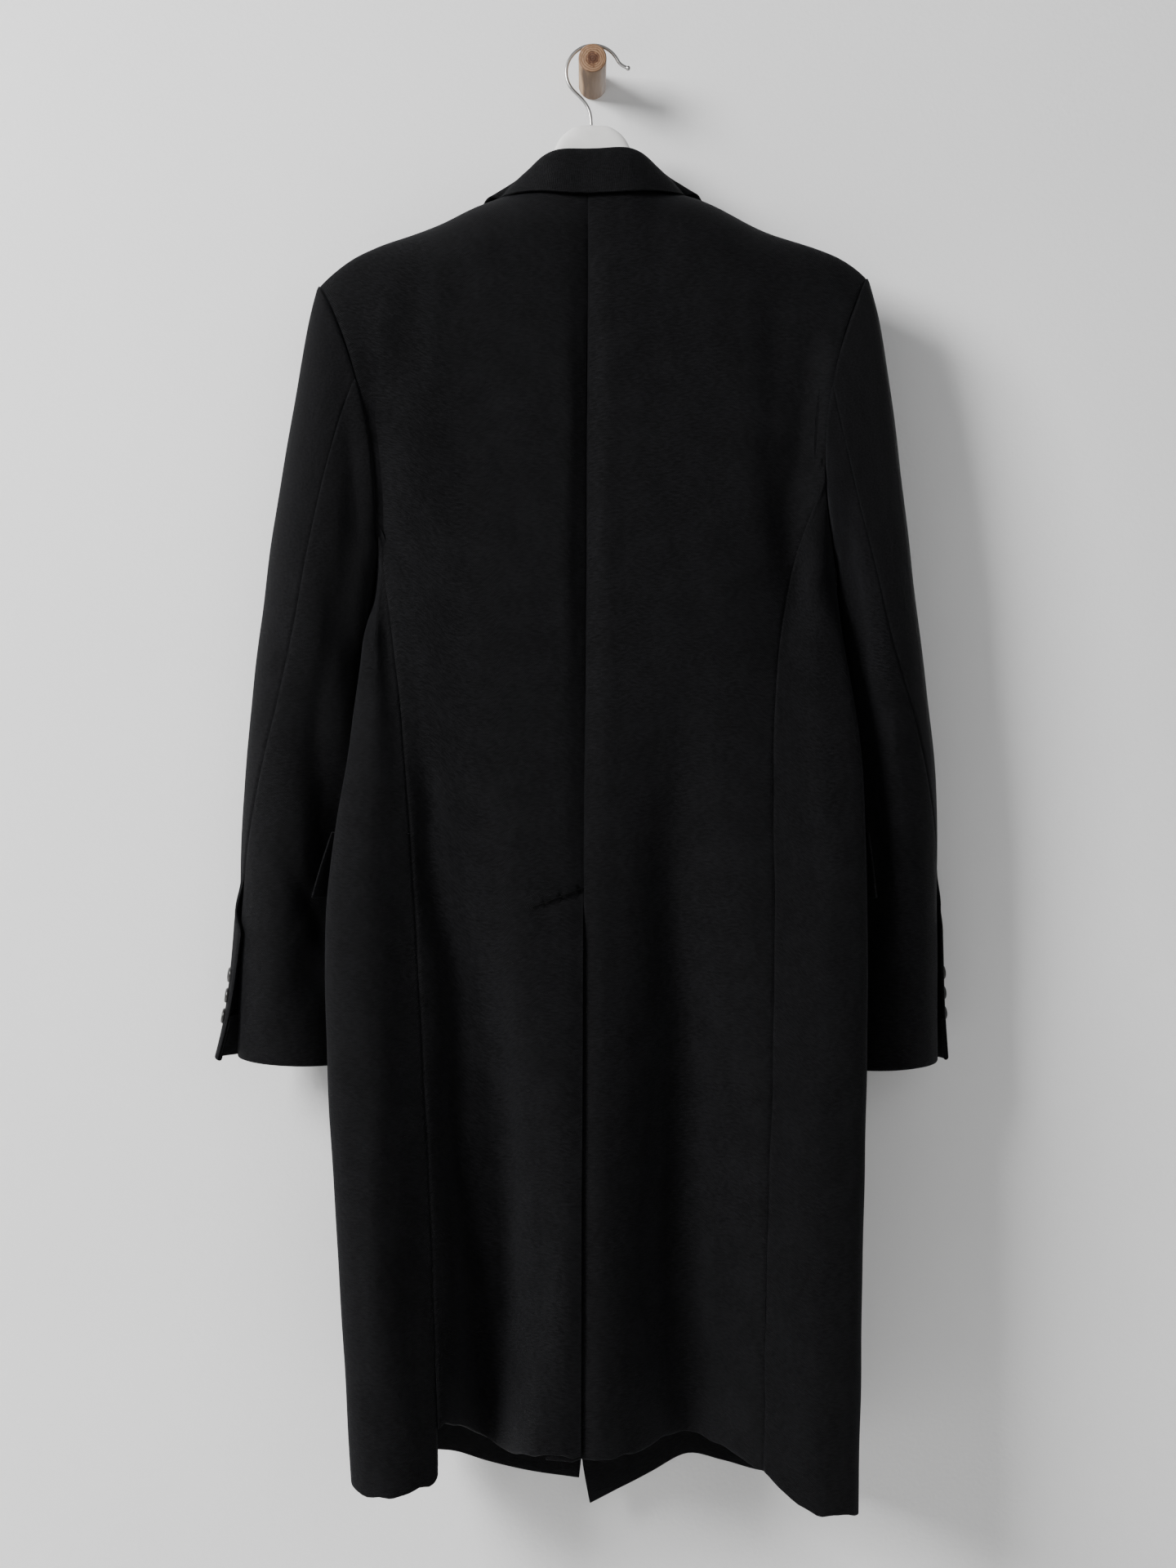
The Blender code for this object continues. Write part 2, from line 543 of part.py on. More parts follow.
def flap(side, u, v):
    """A hip flap: u from its rear end on the flank to its front end, v from its top down."""
    z = FLAP_TOP - FLAP_HEIGHT * v
    round_side = np.clip(u / 0.5, 0, 1)
    share = mix(0.53, 1.0, round_side)
    x, y = side_ring(side, z, share)
    on_front = np.clip((u - 0.5) / 0.5, 0, 1)
    x = x - side * FLAP_REACH * on_front
    y = np.where(u > 0.5, front_depth(x, z), y)
    turn = np.pi / 2 * ease((share - 0.62) / 0.38)
    lift = FLAP_LIFT + FLAP_CORNER[side] * v * ease(1 - u / 0.18) + FLAP_SPREAD * v
    return x + side * lift * np.cos(turn), y + lift * np.sin(turn), z


RIGHT_JOIN_Z = float(armhole(RIGHT, np.float64(JOIN_BACK[RIGHT]))[2])
MIDDLE_HEM = float(column(BACK_HEM, "z", -0.010))


def row_at(z):
    """The place of a height among the right back's rows at the centre seam."""
    return JOIN_SHARE * (z - MIDDLE_HEM) / (RIGHT_JOIN_Z - MIDDLE_HEM)


VENT_SHARE_BACK = row_at(VENT_TOP)
LOW_ROWS = np.union1d(np.linspace(0, 1, 17), row_at(VENT_TOP + np.array([0, 0.006])) / JOIN_SHARE)
HIGH_ROWS = 1 - (1 - np.append(np.linspace(0, 1, 11)[1:-1], (0.985, 1.0))) ** 1.8
PANEL_ROWS = np.append(LOW_ROWS * JOIN_SHARE, JOIN_SHARE + (1 - JOIN_SHARE) * HIGH_ROWS)
BACK_COLUMNS = np.array([0, 0.016, 0.05, 0.12, 0.22, 0.33, 0.45, 0.57, 0.69, 0.79, 0.87, 0.93, 0.98, 1])
SIDE_COLUMNS = np.array([0, 0.02, 0.09, 0.20, 0.32, 0.43, 0.54, 0.66, 0.78, 0.89, 0.97, 1])
LAP_COLUMNS = np.array([-3, -2, -1])
FRONT_COLUMNS = np.array([0, 0.16, 0.33, 0.50, 0.66, 0.80, 0.92, 1])
SLEEVE_ROWS = np.array([0, 0.04, 0.09, 0.16, 0.25, 0.35, 0.46, 0.57, 0.68, 0.76, 0.825, 0.865,
                        0.885, 0.92, 0.96, 1])
TOP_SLEEVE_COLUMNS = np.array([0, 0.02, 0.12, 0.24, 0.36, 0.48, 0.60, 0.72, 0.82, 0.90, 0.96, 1])
UNDER_SLEEVE_COLUMNS = np.array([0, 0.02, 0.11, 0.22, 0.33, 0.44, 0.55, 0.66, 0.77, 0.88, 0.98, 1])


def material(name, colour, roughness, metallic=0.0):
    made = bpy.data.materials.new(name)
    made.use_nodes = True
    shader = made.node_tree.nodes["Principled BSDF"]
    shader.inputs["Base Color"].default_value = (*colour, 1)
    shader.inputs["Roughness"].default_value = roughness
    shader.inputs["Metallic"].default_value = metallic
    return made


def add(name, mesh, finish):
    mesh.materials.append(finish)
    mesh.shade_smooth()
    mesh.set_sharp_from_angle(angle=np.radians(40))
    made = bpy.data.objects.new(name, mesh)
    bpy.context.scene.collection.objects.link(made)
    return made


def grid(name, columns, rows, place, drop=None):
    """A mesh of points place(u, v), without the faces for which drop(u, v) holds."""
    bm = bmesh.new()
    bmesh.ops.create_grid(bm, x_segments=len(columns) - 1, y_segments=len(rows) - 1, size=0.5)
    flat = np.array([vert.co[:2] for vert in bm.verts]) + 0.5
    u = np.asarray(columns)[np.rint(flat[:, 0] * (len(columns) - 1)).astype(int)]
    v = np.asarray(rows)[np.rint(flat[:, 1] * (len(rows) - 1)).astype(int)]
    points = np.stack(place(u, v), axis=1)
    for vert, point in zip(bm.verts, points):
        vert.co = point
    if drop is not None:
        gone = [face for face in bm.faces
                if drop(np.mean([u[vert.index] for vert in face.verts]),
                        np.mean([v[vert.index] for vert in face.verts]))]
        bmesh.ops.delete(bm, geom=gone, context="FACES")
    mesh = bpy.data.meshes.new(name)
    bm.to_mesh(mesh)
    bm.free()
    return mesh


def sheet(name, columns, rows, place, finish, thickness=CLOTH, drop=None):
    """A wall of cloth whose middle runs through the points place(u, v)."""
    made = add(name, grid(name, columns, rows, place, drop), finish)
    wall = made.modifiers.new("Wall", "SOLIDIFY")
    wall.thickness = thickness
    wall.offset = 0
    return made


def coat_panels(cloth):
    for side, word in ((LEFT, "left"), (RIGHT, "right")):
        columns, drop = BACK_COLUMNS, None
        if side == RIGHT:
            columns = np.append(LAP_COLUMNS, BACK_COLUMNS)

            def drop(u, v):
                return u < 0 and v > VENT_SHARE_BACK

        sheet(f"back_{word}", columns, PANEL_ROWS,
              lambda u, v, side=side: back_panel(side, u, v), cloth, drop=drop)
        sheet(f"side_{word}", SIDE_COLUMNS, LOW_ROWS,
              lambda u, v, side=side: side_panel(side, u, v), cloth)
        sheet(f"front_{word}", FRONT_COLUMNS, PANEL_ROWS,
              lambda u, v, side=side: front_panel(side, u, v), cloth)
        sheet(f"lapel_{word}", np.linspace(0, 1, 4), np.linspace(0, 1, 9),
              lambda u, v, side=side: lapel(side, u, v), cloth)
        sheet(f"pocket_flap_{word}", np.append(np.linspace(0, 0.5, 9), (0.75, 1)),
              np.linspace(0, 1, 4), lambda u, v, side=side: flap(side, u, v), cloth)
    sheet("collar", np.linspace(-1, 1, 31), (0, 0.13, 0.27, 0.4, 0.48, 0.56, 0.7, 0.85, 1),
          collar, cloth)


def sleeves(cloth):
    for side, word in ((LEFT, "left"), (RIGHT, "right")):
        sheet(f"top_sleeve_{word}", TOP_SLEEVE_COLUMNS, SLEEVE_ROWS,
              lambda u, v, side=side: top_sleeve(side, u, v), cloth)
        sheet(f"under_sleeve_{word}", UNDER_SLEEVE_COLUMNS, SLEEVE_ROWS,
              lambda u, v, side=side: under_sleeve(side, u, v), cloth)


def disc(name, diameter, height, centre, facing, finish):
    """A domed button, its flat back towards the cloth."""
    bm = bmesh.new()
    bmesh.ops.create_cone(bm, cap_ends=True, segments=16, radius1=diameter / 2,
                          radius2=diameter / 2, depth=height)
    top = [edge for edge in bm.edges if all(vert.co.z > 0 for vert in edge.verts)]
    bmesh.ops.bevel(bm, geom=top, offset=height * 0.45, segments=1, profile=0.5,
                    affect="EDGES", material=-1)
    turn = Vector((0, 0, 1)).rotation_difference(Vector(facing)).to_matrix()
    bmesh.ops.rotate(bm, verts=bm.verts, matrix=turn)
    bmesh.ops.translate(bm, verts=bm.verts, vec=Vector(centre))
    mesh = bpy.data.meshes.new(name)
    bm.to_mesh(mesh)
    bm.free()
    return add(name, mesh, finish)


def buttons(finish):
    for number, z in enumerate(BUTTON_HEIGHTS, 1):
        y = float(front_depth(np.float64(0), np.float64(z)))
        y += SEAM / 2 + CLOTH / 2 + LAY + BUTTON_HEIGHT / 2
        disc(f"front_button_{number}", BUTTON_FRONT, BUTTON_HEIGHT, (0, y, z), (0, 1, 0), finish)
    for side, word in ((LEFT, "left"), (RIGHT, "right")):
        for number, z in enumerate(CUFF_BUTTONS[side], 1):
            centre, facing = cuff_button(side, z)
            disc(f"cuff_button_{word}_{number}", BUTTON_CUFF, CUFF_BUTTON_HEIGHT, centre, facing,
                 finish)


def cuff_button(side, z):
    """Where a cuff button sits on the lap, and the way it faces."""
    steps = np.linspace(0.85, 1, 200)
    heights = top_sleeve(side, CUFF_BUTTON_INSET + 0 * steps, steps)[2]
    v = float(np.interp(-z, -heights, steps))
    step = 0.01

    def at(u, v):
        return Vector([float(value) for value in top_sleeve(side, np.float64(u), np.float64(v))])

    across = at(CUFF_BUTTON_INSET + step, v) - at(CUFF_BUTTON_INSET - step, v)
    along = at(CUFF_BUTTON_INSET, v + step) - at(CUFF_BUTTON_INSET, v - step)
    facing = across.cross(along).normalized()
    if facing.x * side < 0:
        facing = -facing
    lift = CLOTH / 2 + LAY + CUFF_BUTTON_LIFT + CUFF_BUTTON_HEIGHT / 2
    return at(CUFF_BUTTON_INSET, v) + facing * lift, facing


def hanger(finish):
    """Both arms and the neck hump, as oval rings from end to end."""
    stops = np.array([0, 0.012, 0.022, 0.030, 0.036, 0.042, 0.050, 0.060, 0.075, 0.095, 0.12,
                      0.15, 0.172, 0.183, 0.188, HANGER_HALF])
    across = np.append(-stops[:0:-1], stops)
    around = np.linspace(0, 1, 11)

    def place(u, v):
        top, bottom = column(HANGER, "top", abs(u)), column(HANGER, "bottom", abs(u))
        thick = HANGER_THICK * np.sqrt(np.clip(1 - (abs(u) / (HANGER_HALF + 0.001)) ** 10, 0.05, 1))
        turn = 2 * np.pi * v
        return u, SHOULDER_Y + thick / 2 * np.sin(turn), mix(bottom, top, (1 + np.cos(turn)) / 2)

    bm = bmesh.new()
    bm.from_mesh(grid("hanger", across, around, place))
    bmesh.ops.remove_doubles(bm, verts=bm.verts, dist=1e-6)
    bmesh.ops.holes_fill(bm, edges=bm.edges, sides=0)
    bmesh.ops.recalc_face_normals(bm, faces=bm.faces)
    mesh = bpy.data.meshes.new("hanger")
    bm.to_mesh(mesh)
    bm.free()
    add("hanger", mesh, finish)


def hanger_hook(finish):
    """The wire: a stem, most of a circle that bears on the peg's top, and a turned-out tip."""
    centre = PEG_RADIUS + SEAM + WIRE / 2 - HOOK_RADIUS
    angles = np.radians(np.linspace(214, 18, 15))
    bow = [(HOOK_X + HOOK_RADIUS * np.cos(a), centre + HOOK_RADIUS * np.sin(a)) for a in angles]
    route = np.array(STEM + bow + TIP)
    reach = np.append(0, np.cumsum(np.linalg.norm(np.diff(route, axis=0), axis=1)))
    at = np.linspace(0, reach[-1], 38)
    curve = bpy.data.curves.new("hanger_hook", "CURVE")
    curve.dimensions = "3D"
    curve.bevel_depth = WIRE / 2
    curve.bevel_resolution = 2
    curve.use_fill_caps = True
    line = curve.splines.new("POLY")
    line.points.add(len(at) - 1)
    for point, x, z in zip(line.points, through(reach, route[:, 0], at), through(reach, route[:, 1], at)):
        point.co = (x, SHOULDER_Y, z, 1)
    curve.materials.append(finish)
    made = bpy.data.objects.new("hanger_hook", curve)
    bpy.context.scene.collection.objects.link(made)


def wall_peg(finish):
    bm = bmesh.new()
    bmesh.ops.create_cone(bm, cap_ends=True, segments=32, radius1=PEG_RADIUS, radius2=PEG_RADIUS,
                          depth=PEG_LENGTH)
    end = [edge for edge in bm.edges if all(vert.co.z > 0 for vert in edge.verts)]
    bmesh.ops.bevel(bm, geom=end, offset=PEG_EDGE, segments=3, profile=0.5, affect="EDGES",
                    material=-1)
    turn = Vector((0, 0, 1)).rotation_difference(Vector((0, -1, 0))).to_matrix()
    bmesh.ops.rotate(bm, verts=bm.verts, matrix=turn)
    bmesh.ops.translate(bm, verts=bm.verts, vec=Vector((0, -PEG_LENGTH / 2, 0)))
    mesh = bpy.data.meshes.new("wall_peg")
    bm.to_mesh(mesh)
    bm.free()
    add("wall_peg", mesh, finish)


black_wool = material("black wool", (0.010, 0.010, 0.012), 0.85)
black_button = material("black button", (0.012, 0.012, 0.012), 0.35)
white_plastic = material("white plastic", (0.72, 0.71, 0.70), 0.45)
steel_wire = material("steel wire", (0.62, 0.60, 0.57), 0.25, 1.0)
pale_wood = material("pale wood", (0.45, 0.30, 0.18), 0.6)

coat_panels(black_wool)
sleeves(black_wool)
buttons(black_button)
hanger(white_plastic)
hanger_hook(steel_wire)
wall_peg(pale_wood)
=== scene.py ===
"""The looks of a long black tailored coat that hangs from a wooden wall peg.

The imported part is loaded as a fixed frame. Every panel of cloth is made again here as a finer
sheet on the same form, with its creases, seams, hems and twill, and the hanger, hook, peg and
buttons get their finished shapes and materials.
"""

# %% [markdown]
# The coat hangs with its back to the room. It was made as solids first, so this script starts
# by loading them as a fixed frame. Their own box is kept, because the finished pieces have to
# stay inside it but for a few millimetres that cloth may stand proud. Their own boxes are
# kept, and the buttons are placed at their middles.

import bmesh
import bpy
import numpy as np
from mathutils import Matrix, Vector


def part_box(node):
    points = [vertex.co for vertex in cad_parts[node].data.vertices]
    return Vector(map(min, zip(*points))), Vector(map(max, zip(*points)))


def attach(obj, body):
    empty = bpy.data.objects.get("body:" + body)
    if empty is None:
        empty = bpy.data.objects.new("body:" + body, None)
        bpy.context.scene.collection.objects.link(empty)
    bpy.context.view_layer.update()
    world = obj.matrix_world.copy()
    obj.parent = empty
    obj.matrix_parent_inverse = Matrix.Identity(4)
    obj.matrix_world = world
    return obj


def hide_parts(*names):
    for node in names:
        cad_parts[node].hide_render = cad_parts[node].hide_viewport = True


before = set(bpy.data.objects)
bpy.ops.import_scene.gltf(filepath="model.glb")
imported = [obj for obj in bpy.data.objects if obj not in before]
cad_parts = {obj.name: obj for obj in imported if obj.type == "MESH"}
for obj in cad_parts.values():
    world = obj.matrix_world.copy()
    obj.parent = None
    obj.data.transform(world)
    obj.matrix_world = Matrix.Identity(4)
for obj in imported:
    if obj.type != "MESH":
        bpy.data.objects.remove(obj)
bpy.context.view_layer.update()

# %% [markdown]
# The photograph was taken square to the wall, from about 1.6 m, with the lens at the height of
# the coat's waist. The peg's back face is the origin, the wall is the plane y = 0, and the room
# is on its -Y side, so the camera looks along +Y. On a 36 mm wide sensor a 40 mm lens gives the
# photograph's field.

# %% Camera
lens = bpy.data.cameras.new("photo camera")
lens.lens = 40
lens.sensor_width = 36
camera = bpy.data.objects.new("photo camera", lens)
camera.location = (-0.004, -1.60, -0.641)
camera.rotation_euler = (np.radians(90), 0, 0)
bpy.context.scene.collection.objects.link(camera)
bpy.context.scene.camera = camera
print("camera", round(-camera.location.y, 2), "m from the wall")

# %% [markdown]
# A hanging coat is one smooth form that changes slowly with height. Short tables say where its
# lines lie at a few heights, in millimetres, and a cubic curve through each column gives every
# height between. The solids were made from nearly the same tables, so the fine sheets lie on them.

# %% Smooth curves through short tables
LEFT, RIGHT = -1, 1
SIDES = ((LEFT, "left"), (RIGHT, "right"))
CLOTH = 0.0020          # wall of a panel
SEAM = 0.0003           # space between two panels at a seam
LAY = 0.0004            # space between a piece and the panel it lies on


def through(knots, values, at):
    """Smooth curve through one row of values per knot, held at its ends."""
    knots = np.asarray(knots, float)
    at = np.asarray(at, float)
    values = np.asarray(values, float)
    values = values.reshape(len(knots), *([1] * (at.ndim + 1 - values.ndim)), *values.shape[1:])
    values = np.broadcast_to(values, (len(knots),) + at.shape)
    slopes = np.gradient(values, knots, axis=0)
    at = np.clip(at, knots[0], knots[-1])
    low = np.clip(np.searchsorted(knots, at, side="right") - 1, 0, len(knots) - 2)
    step = knots[low + 1] - knots[low]
    t = (at - knots[low]) / step

    def pick(array, row):
        return np.take_along_axis(array, row[None], axis=0)[0]

    start, end = pick(values, low), pick(values, low + 1)
    leave, arrive = pick(slopes, low) * step, pick(slopes, low + 1) * step
    cubic = (2 * t**3 - 3 * t**2 + 1) * start + (t**3 - 2 * t**2 + t) * leave
    return cubic + (3 * t**2 - 2 * t**3) * end + (t**3 - t**2) * arrive


def table(names, *rows):
    """Named columns in metres from rows in millimetres. Shares and angles stay as they are."""
    names = names.split()
    units = [1 if name in ("share", "seam_angle") else 1000 for name in names]
    return dict(zip(names, (np.array(sorted(rows)) / units).T))


def column(columns, name, at):
    """Smooth value of a table's column, by its first column."""
    return through(next(iter(columns.values())), columns[name], at)


def ease(t):
    """0 to 1 with flat ends."""
    t = np.clip(t, 0, 1)
    return t * t * (3 - 2 * t)


def mix(a, b, t):
    return a + (b - a) * t


# %% [markdown]
# The shoulder line, the back and its folds come first. The back hangs from the hanger's two
# arms, so below the waist its spare width falls into folds: a deep valley on each side of the
# centre seam. Each fold is a table by height: its line, its width to each side and its depth.

# %% Shoulder line, back and folds
VENT_TOP = -0.728       # where the centre-back vent starts
VENT_LAP = 0.030        # how far the underlap reaches under the other panel
CAP_ROUND = 0.055       # drop over which the back rounds off from the shoulder line
FRONT_ROUND = 0.035     # the same at the front
SHOULDER_Y = -0.055     # depth of the shoulder line, over the hanger
NECK_HALF = 0.072       # half the width of the neckline
NECK_BOW = 0.0235       # how far the back neckline bows towards the room
NECK_BLEND = 0.045      # width over which that bow ends at each side
HALF_BACK = 0.15        # from the middle to where side_depth holds

# The shoulder line and the neckline, from left to right
SHOULDER = table("x z",
    (-239, -205), (-226, -193.5), (-212, -182.5), (-188, -170), (-140, -149.5), (-90, -127),
    (-70, -120), (-4, -119), (70, -119), (90, -124), (158, -157), (200, -172.5), (215, -180),
    (228, -188.5), (240, -198),
)

# The back at its middle and at its two side-back seams, by height
BACK = table("z middle depth side_depth",
    (-1250, -10, -144, -147), (-1050, -9.5, -144, -144), (-860, -8.5, -141, -138),
    (-740, -8, -136, -131), (-600, -7, -125, -119), (-450, -6, -111, -107), (-300, -5.5, -99, -98),
    (-200, -4.5, -95, -93), (-110, -4, -93, -90),
)

# Soft folds of the back. Each row is one fold at one height: its line, how wide it is to the
# left and to the right, and how far it sinks towards the wall
FOLD_COLUMNS = "z x left right depth"
FOLDS = {
    "left valley": table(FOLD_COLUMNS,
        (-1250, -94, 24, 24, 64), (-1160, -86, 32, 26, 60), (-1060, -80, 44, 28, 52),
        (-950, -84, 46, 28, 39), (-820, -102, 40, 32, 26), (-700, -125, 28, 36, 13),
        (-600, -142, 21, 36, 4), (-520, -150, 20, 36, 0),
    ),
    "right valley": table(FOLD_COLUMNS,
        (-1250, 82, 40, 46, 62), (-1130, 83, 46, 44, 56), (-980, 82, 50, 42, 43),
        (-820, 79, 48, 40, 26), (-680, 74, 40, 40, 11), (-560, 68, 34, 40, 0),
    ),
    "centre seam": table(FOLD_COLUMNS,
        (-1250, -10, 10, 10, 4.5), (-740, -8, 10, 10, 3.5), (-450, -6, 12, 10, 5),
        (-200, -4.5, 12, 10, 3.5), (-110, -4, 12, 10, 1),
    ),
    "left armhole hollow": table(FOLD_COLUMNS,
        (-620, -172, 22, 26, 0), (-480, -182, 20, 26, 9), (-340, -186, 20, 26, 11),
        (-240, -184, 20, 26, 0),
    ),
    "right armhole hollow": table(FOLD_COLUMNS,
        (-560, 160, 26, 20, 0), (-420, 178, 26, 20, 10), (-310, 184, 26, 20, 10),
        (-220, 182, 26, 20, 0),
    ),
}


def shoulder_z(x):
    return column(SHOULDER, "z", x)


def shoulder_y(x):
    """The shoulder line runs over the hanger and bows towards the room behind the neck."""
    return SHOULDER_Y - NECK_BOW * ease((NECK_HALF - abs(x)) / NECK_BLEND)


def rounded(y, x, z, drop):
    """Rounds a panel's depth over to the shoulder line within that drop below it."""
    share = np.clip((shoulder_z(x) - z) / drop, 0, 1)
    return mix(shoulder_y(x), y, np.sqrt(1 - (1 - share) ** 2))


def back_depth(x, z):
    away = np.clip(abs(x - column(BACK, "middle", z)) / HALF_BACK, 0, 1.3)
    y = mix(column(BACK, "depth", z), column(BACK, "side_depth", z), away**2)
    for rows in FOLDS.values():
        shift = x - column(rows, "x", z)
        width = np.where(shift < 0, column(rows, "left", z), column(rows, "right", z))
        y = y + column(rows, "depth", z) * np.exp(-((shift / width) ** 2))
    return rounded(y, x, z, CAP_ROUND)


# %% [markdown]
# The sides turn from the back to the fronts in one open curve, which stands out furthest at the
# hips where the folds push it. Back, side and front are separate cut pieces that meet at sewn
# seams, so each is its own sheet, a hair apart from the next.

# %% Fronts, sides and hems
# The fronts, by height: their depth, and where the two front edges lie
FRONT = table("z depth left_edge right_edge",
    (-1290, -34, -15, -1.5), (-1245, -34, -10, -9.5), (-1100, -34, 1, -12), (-900, -34.5, 13, -18),
    (-740, -35, 20, -24), (-560, -35.5, 20, -24), (-440, -35.5, 18, -22), (-300, -36, -30, 26),
    (-190, -38, -62, 60), (-110, -40, -70, 70),
)

# A section of one side, by height: the side-back seam, the ridge nearest the room, the flank,
# the wall that slants in towards the front, and the side-front seam
SIDE_COLUMNS = "z seam ridge ridge_y flank flank_y wall wall_y front"
SIDE = {
    LEFT: table(SIDE_COLUMNS,
        (-1250, 128.5, 166, -160, 198.5, -146, 184, -84, 152),
        (-1020, 136, 180, -156, 213, -141, 192, -82, 158),
        (-860, 144, 190, -149, 223, -135, 199, -80, 163),
        (-740, 151, 193, -140, 223.5, -127, 201, -77, 166),
        (-600, 162, 186, -124, 206, -112, 193, -72, 168),
        (-500, 174, 188, -110, 196, -98, 188, -66, 170),
        (-380, 193, 197, -100, 199, -90, 190, -62, 176),
    ),
    RIGHT: table(SIDE_COLUMNS,
        (-1250, 143, 188, -161, 220.5, -148, 198, -84, 168),
        (-1020, 146, 192, -156, 225.2, -142, 201, -82, 170),
        (-880, 151, 196, -150, 229, -137, 205, -80, 174),
        (-740, 153, 199, -140, 231, -128, 208, -77, 178),
        (-600, 154, 196, -124, 226, -116, 204, -74, 180),
        (-500, 163, 194, -111, 212, -102, 199, -69, 182),
        (-380, 194, 203, -101, 208, -92, 199, -64, 186),
    ),
}
SIDE_KNOTS = (-0.03, 0.0, 0.26, 0.48, 0.78, 1.0, 1.03)
SIDE_LEAD = 0.004       # how far past its seams a side follows the back and the front
SIDE_FROM, SIDE_TO = 0.0034, 0.9958  # shares that leave the seams' spaces free

# Height of the hem, by x, along the back with its two sides and along the fronts
BACK_HEM = table("x z",
    (-205, -1223), (-190, -1231), (-165, -1229), (-145, -1225), (-129, -1219), (-122.5, -1201),
    (-115, -1197), (-98, -1198.5), (-60, -1205.5), (-10, -1207), (70, -1203), (110, -1206),
    (143, -1219), (180, -1241), (222, -1247.5),
)
FRONT_HEM = {
    LEFT: table("x z",
        (-200, -1226), (-150, -1236), (-124, -1238), (-94, -1247), (-60, -1255), (-13, -1262),
    ),
    RIGHT: table("x z",
        (-3, -1284), (26, -1269), (53, -1256), (85, -1240), (116, -1246), (155, -1256), (215, -1249),
    ),
}


def front_depth(x, z):
    return rounded(column(FRONT, "depth", z), x, z, FRONT_ROUND)


def front_edge(side, z):
    return column(FRONT, "left_edge" if side == LEFT else "right_edge", z)


def side_ring(side, z, share):
    """Round one side at a height: share 0 is the side-back seam and 1 the side-front seam."""
    rows = SIDE[side]
    seam = side * column(rows, "seam", z)
    front = side * column(rows, "front", z)
    before, after = seam - side * SIDE_LEAD, front - side * SIDE_LEAD
    across = [before, seam]
    across += [side * column(rows, name, z) for name in ("ridge", "flank", "wall")]
    across += [front, after]
    depth = [back_depth(before, z), back_depth(seam, z)]
    depth += [column(rows, name, z) for name in ("ridge_y", "flank_y", "wall_y")]
    depth += [front_depth(front, z), front_depth(after, z)]
    return through(SIDE_KNOTS, across, share), through(SIDE_KNOTS, depth, share)


# %% [markdown]
# Each sleeve is cut in two, a wide top sleeve and a narrow under sleeve, and is a tube of slanted
# rings: the first ring is the armhole and the last is the cuff. Below VENT_SHARE the back seam
# opens as the cuff vent, where the top sleeve laps over.

# %% Sleeves and armholes
# Rings down a sleeve. The outer and the inner point of each lie in a plane y = const, the ring
# goes from back to front in depth, and inset draws its back and front in towards the body
SLEEVE_COLUMNS = "share outer outer_z inner inner_z back front inset seam_angle"
SLEEVE = {
    LEFT: table(SLEEVE_COLUMNS,
        (0, 239, -205, 190, -456, -102, -37, 20, 72),
        (0.08, 248, -240, 192.5, -468, -107, -33, 12, 75),
        (0.18, 259, -298, 196, -485, -110, -29, 5, 78), (0.32, 275, -393, 199, -520, -110, -27, 0, 78),
        (0.46, 287.5, -476, 201, -570, -108, -25, 0, 72),
        (0.6, 298, -560, 204, -630, -106, -22, 0, 60),
        (0.76, 306.5, -660, 210, -705, -105, -19, 0, 42),
        (0.88, 310.5, -765, 215, -785, -104, -17, 0, 20), (1, 312, -879, 218, -884.5, -103, -16, 0, 8),
    ),
    RIGHT: table(SLEEVE_COLUMNS,
        (0, 240, -198, 212, -450, -101, -37, 24, 78), (0.08, 250, -235, 214, -462, -105, -33, 14, 92),
        (0.18, 261, -298, 216, -480, -106, -29, 6, 98),
        (0.32, 273, -393, 218.8, -515, -105, -27, 0, 94),
        (0.46, 282.5, -476, 220, -565, -104, -24, 0, 80),
        (0.6, 293.5, -560, 221.5, -625, -103, -20, 0, 60),
        (0.76, 302.5, -660, 222, -705, -103, -17, 0, 33),
        (0.88, 303, -765, 220.5, -785, -103, -16, 0, -4),
        (1, 303.5, -883, 219, -888, -103, -15, 0, -18),
    ),
}
SEAM_FRONT = 245        # angle of a sleeve's front seam, from its outer edge round by the back
JOIN_BACK = {LEFT: 140, RIGHT: 110}    # where the side-back seam meets the armhole
JOIN_FRONT = -125                      # where the side-front seam meets it
JOIN_SPACE = 0.15       # space between the panels there, as an angle
VENT_SHARE = 0.865      # where a cuff vent starts, down the sleeve
VENT_ANGLE = 18         # how far the top sleeve laps over the under sleeve there
VENT_BLEND = 0.04       # share of the sleeve over which the lap rises
FLARE = {LEFT: 0.0150, RIGHT: 0.0060}  # how far the vent's corner stands out
JOIN_SHARE = 0.66       # share of a panel's rows that lie below the armhole
SHOULDER_JOIN = 40      # how close to the shoulder seam a front takes the back's own curve
ARM_BLEND = 0.07        # height over which the side seams turn into the armhole
SEAM_ANGLE = 0.24       # half the space of a sleeve's seam, as an angle
UNDER_LAP = 0.0030      # from an outside panel to the one that lies under it
UNDERLAP_SPREAD = 0.35  # how much further in the vent's underlap lies at its free edge
VENT_STEP = 0.0038      # space for the underlap to turn in beside the vent's edge
HEM_LEVEL = -1.22       # about where the hem is, to find a panel's width there
NECK_LEVEL = -0.119     # the same for the neckline
LAP_LIFT = 0.0050       # how far a cuff's lap stands off the under sleeve
HEAD_SPACE, OUTER_SPACE, INNER_SPACE = 0.0010, 0.0005, 0.0018  # off the armhole, and more at its ends
HEAD_SHARE = 0.2        # share of the sleeve over which that space closes


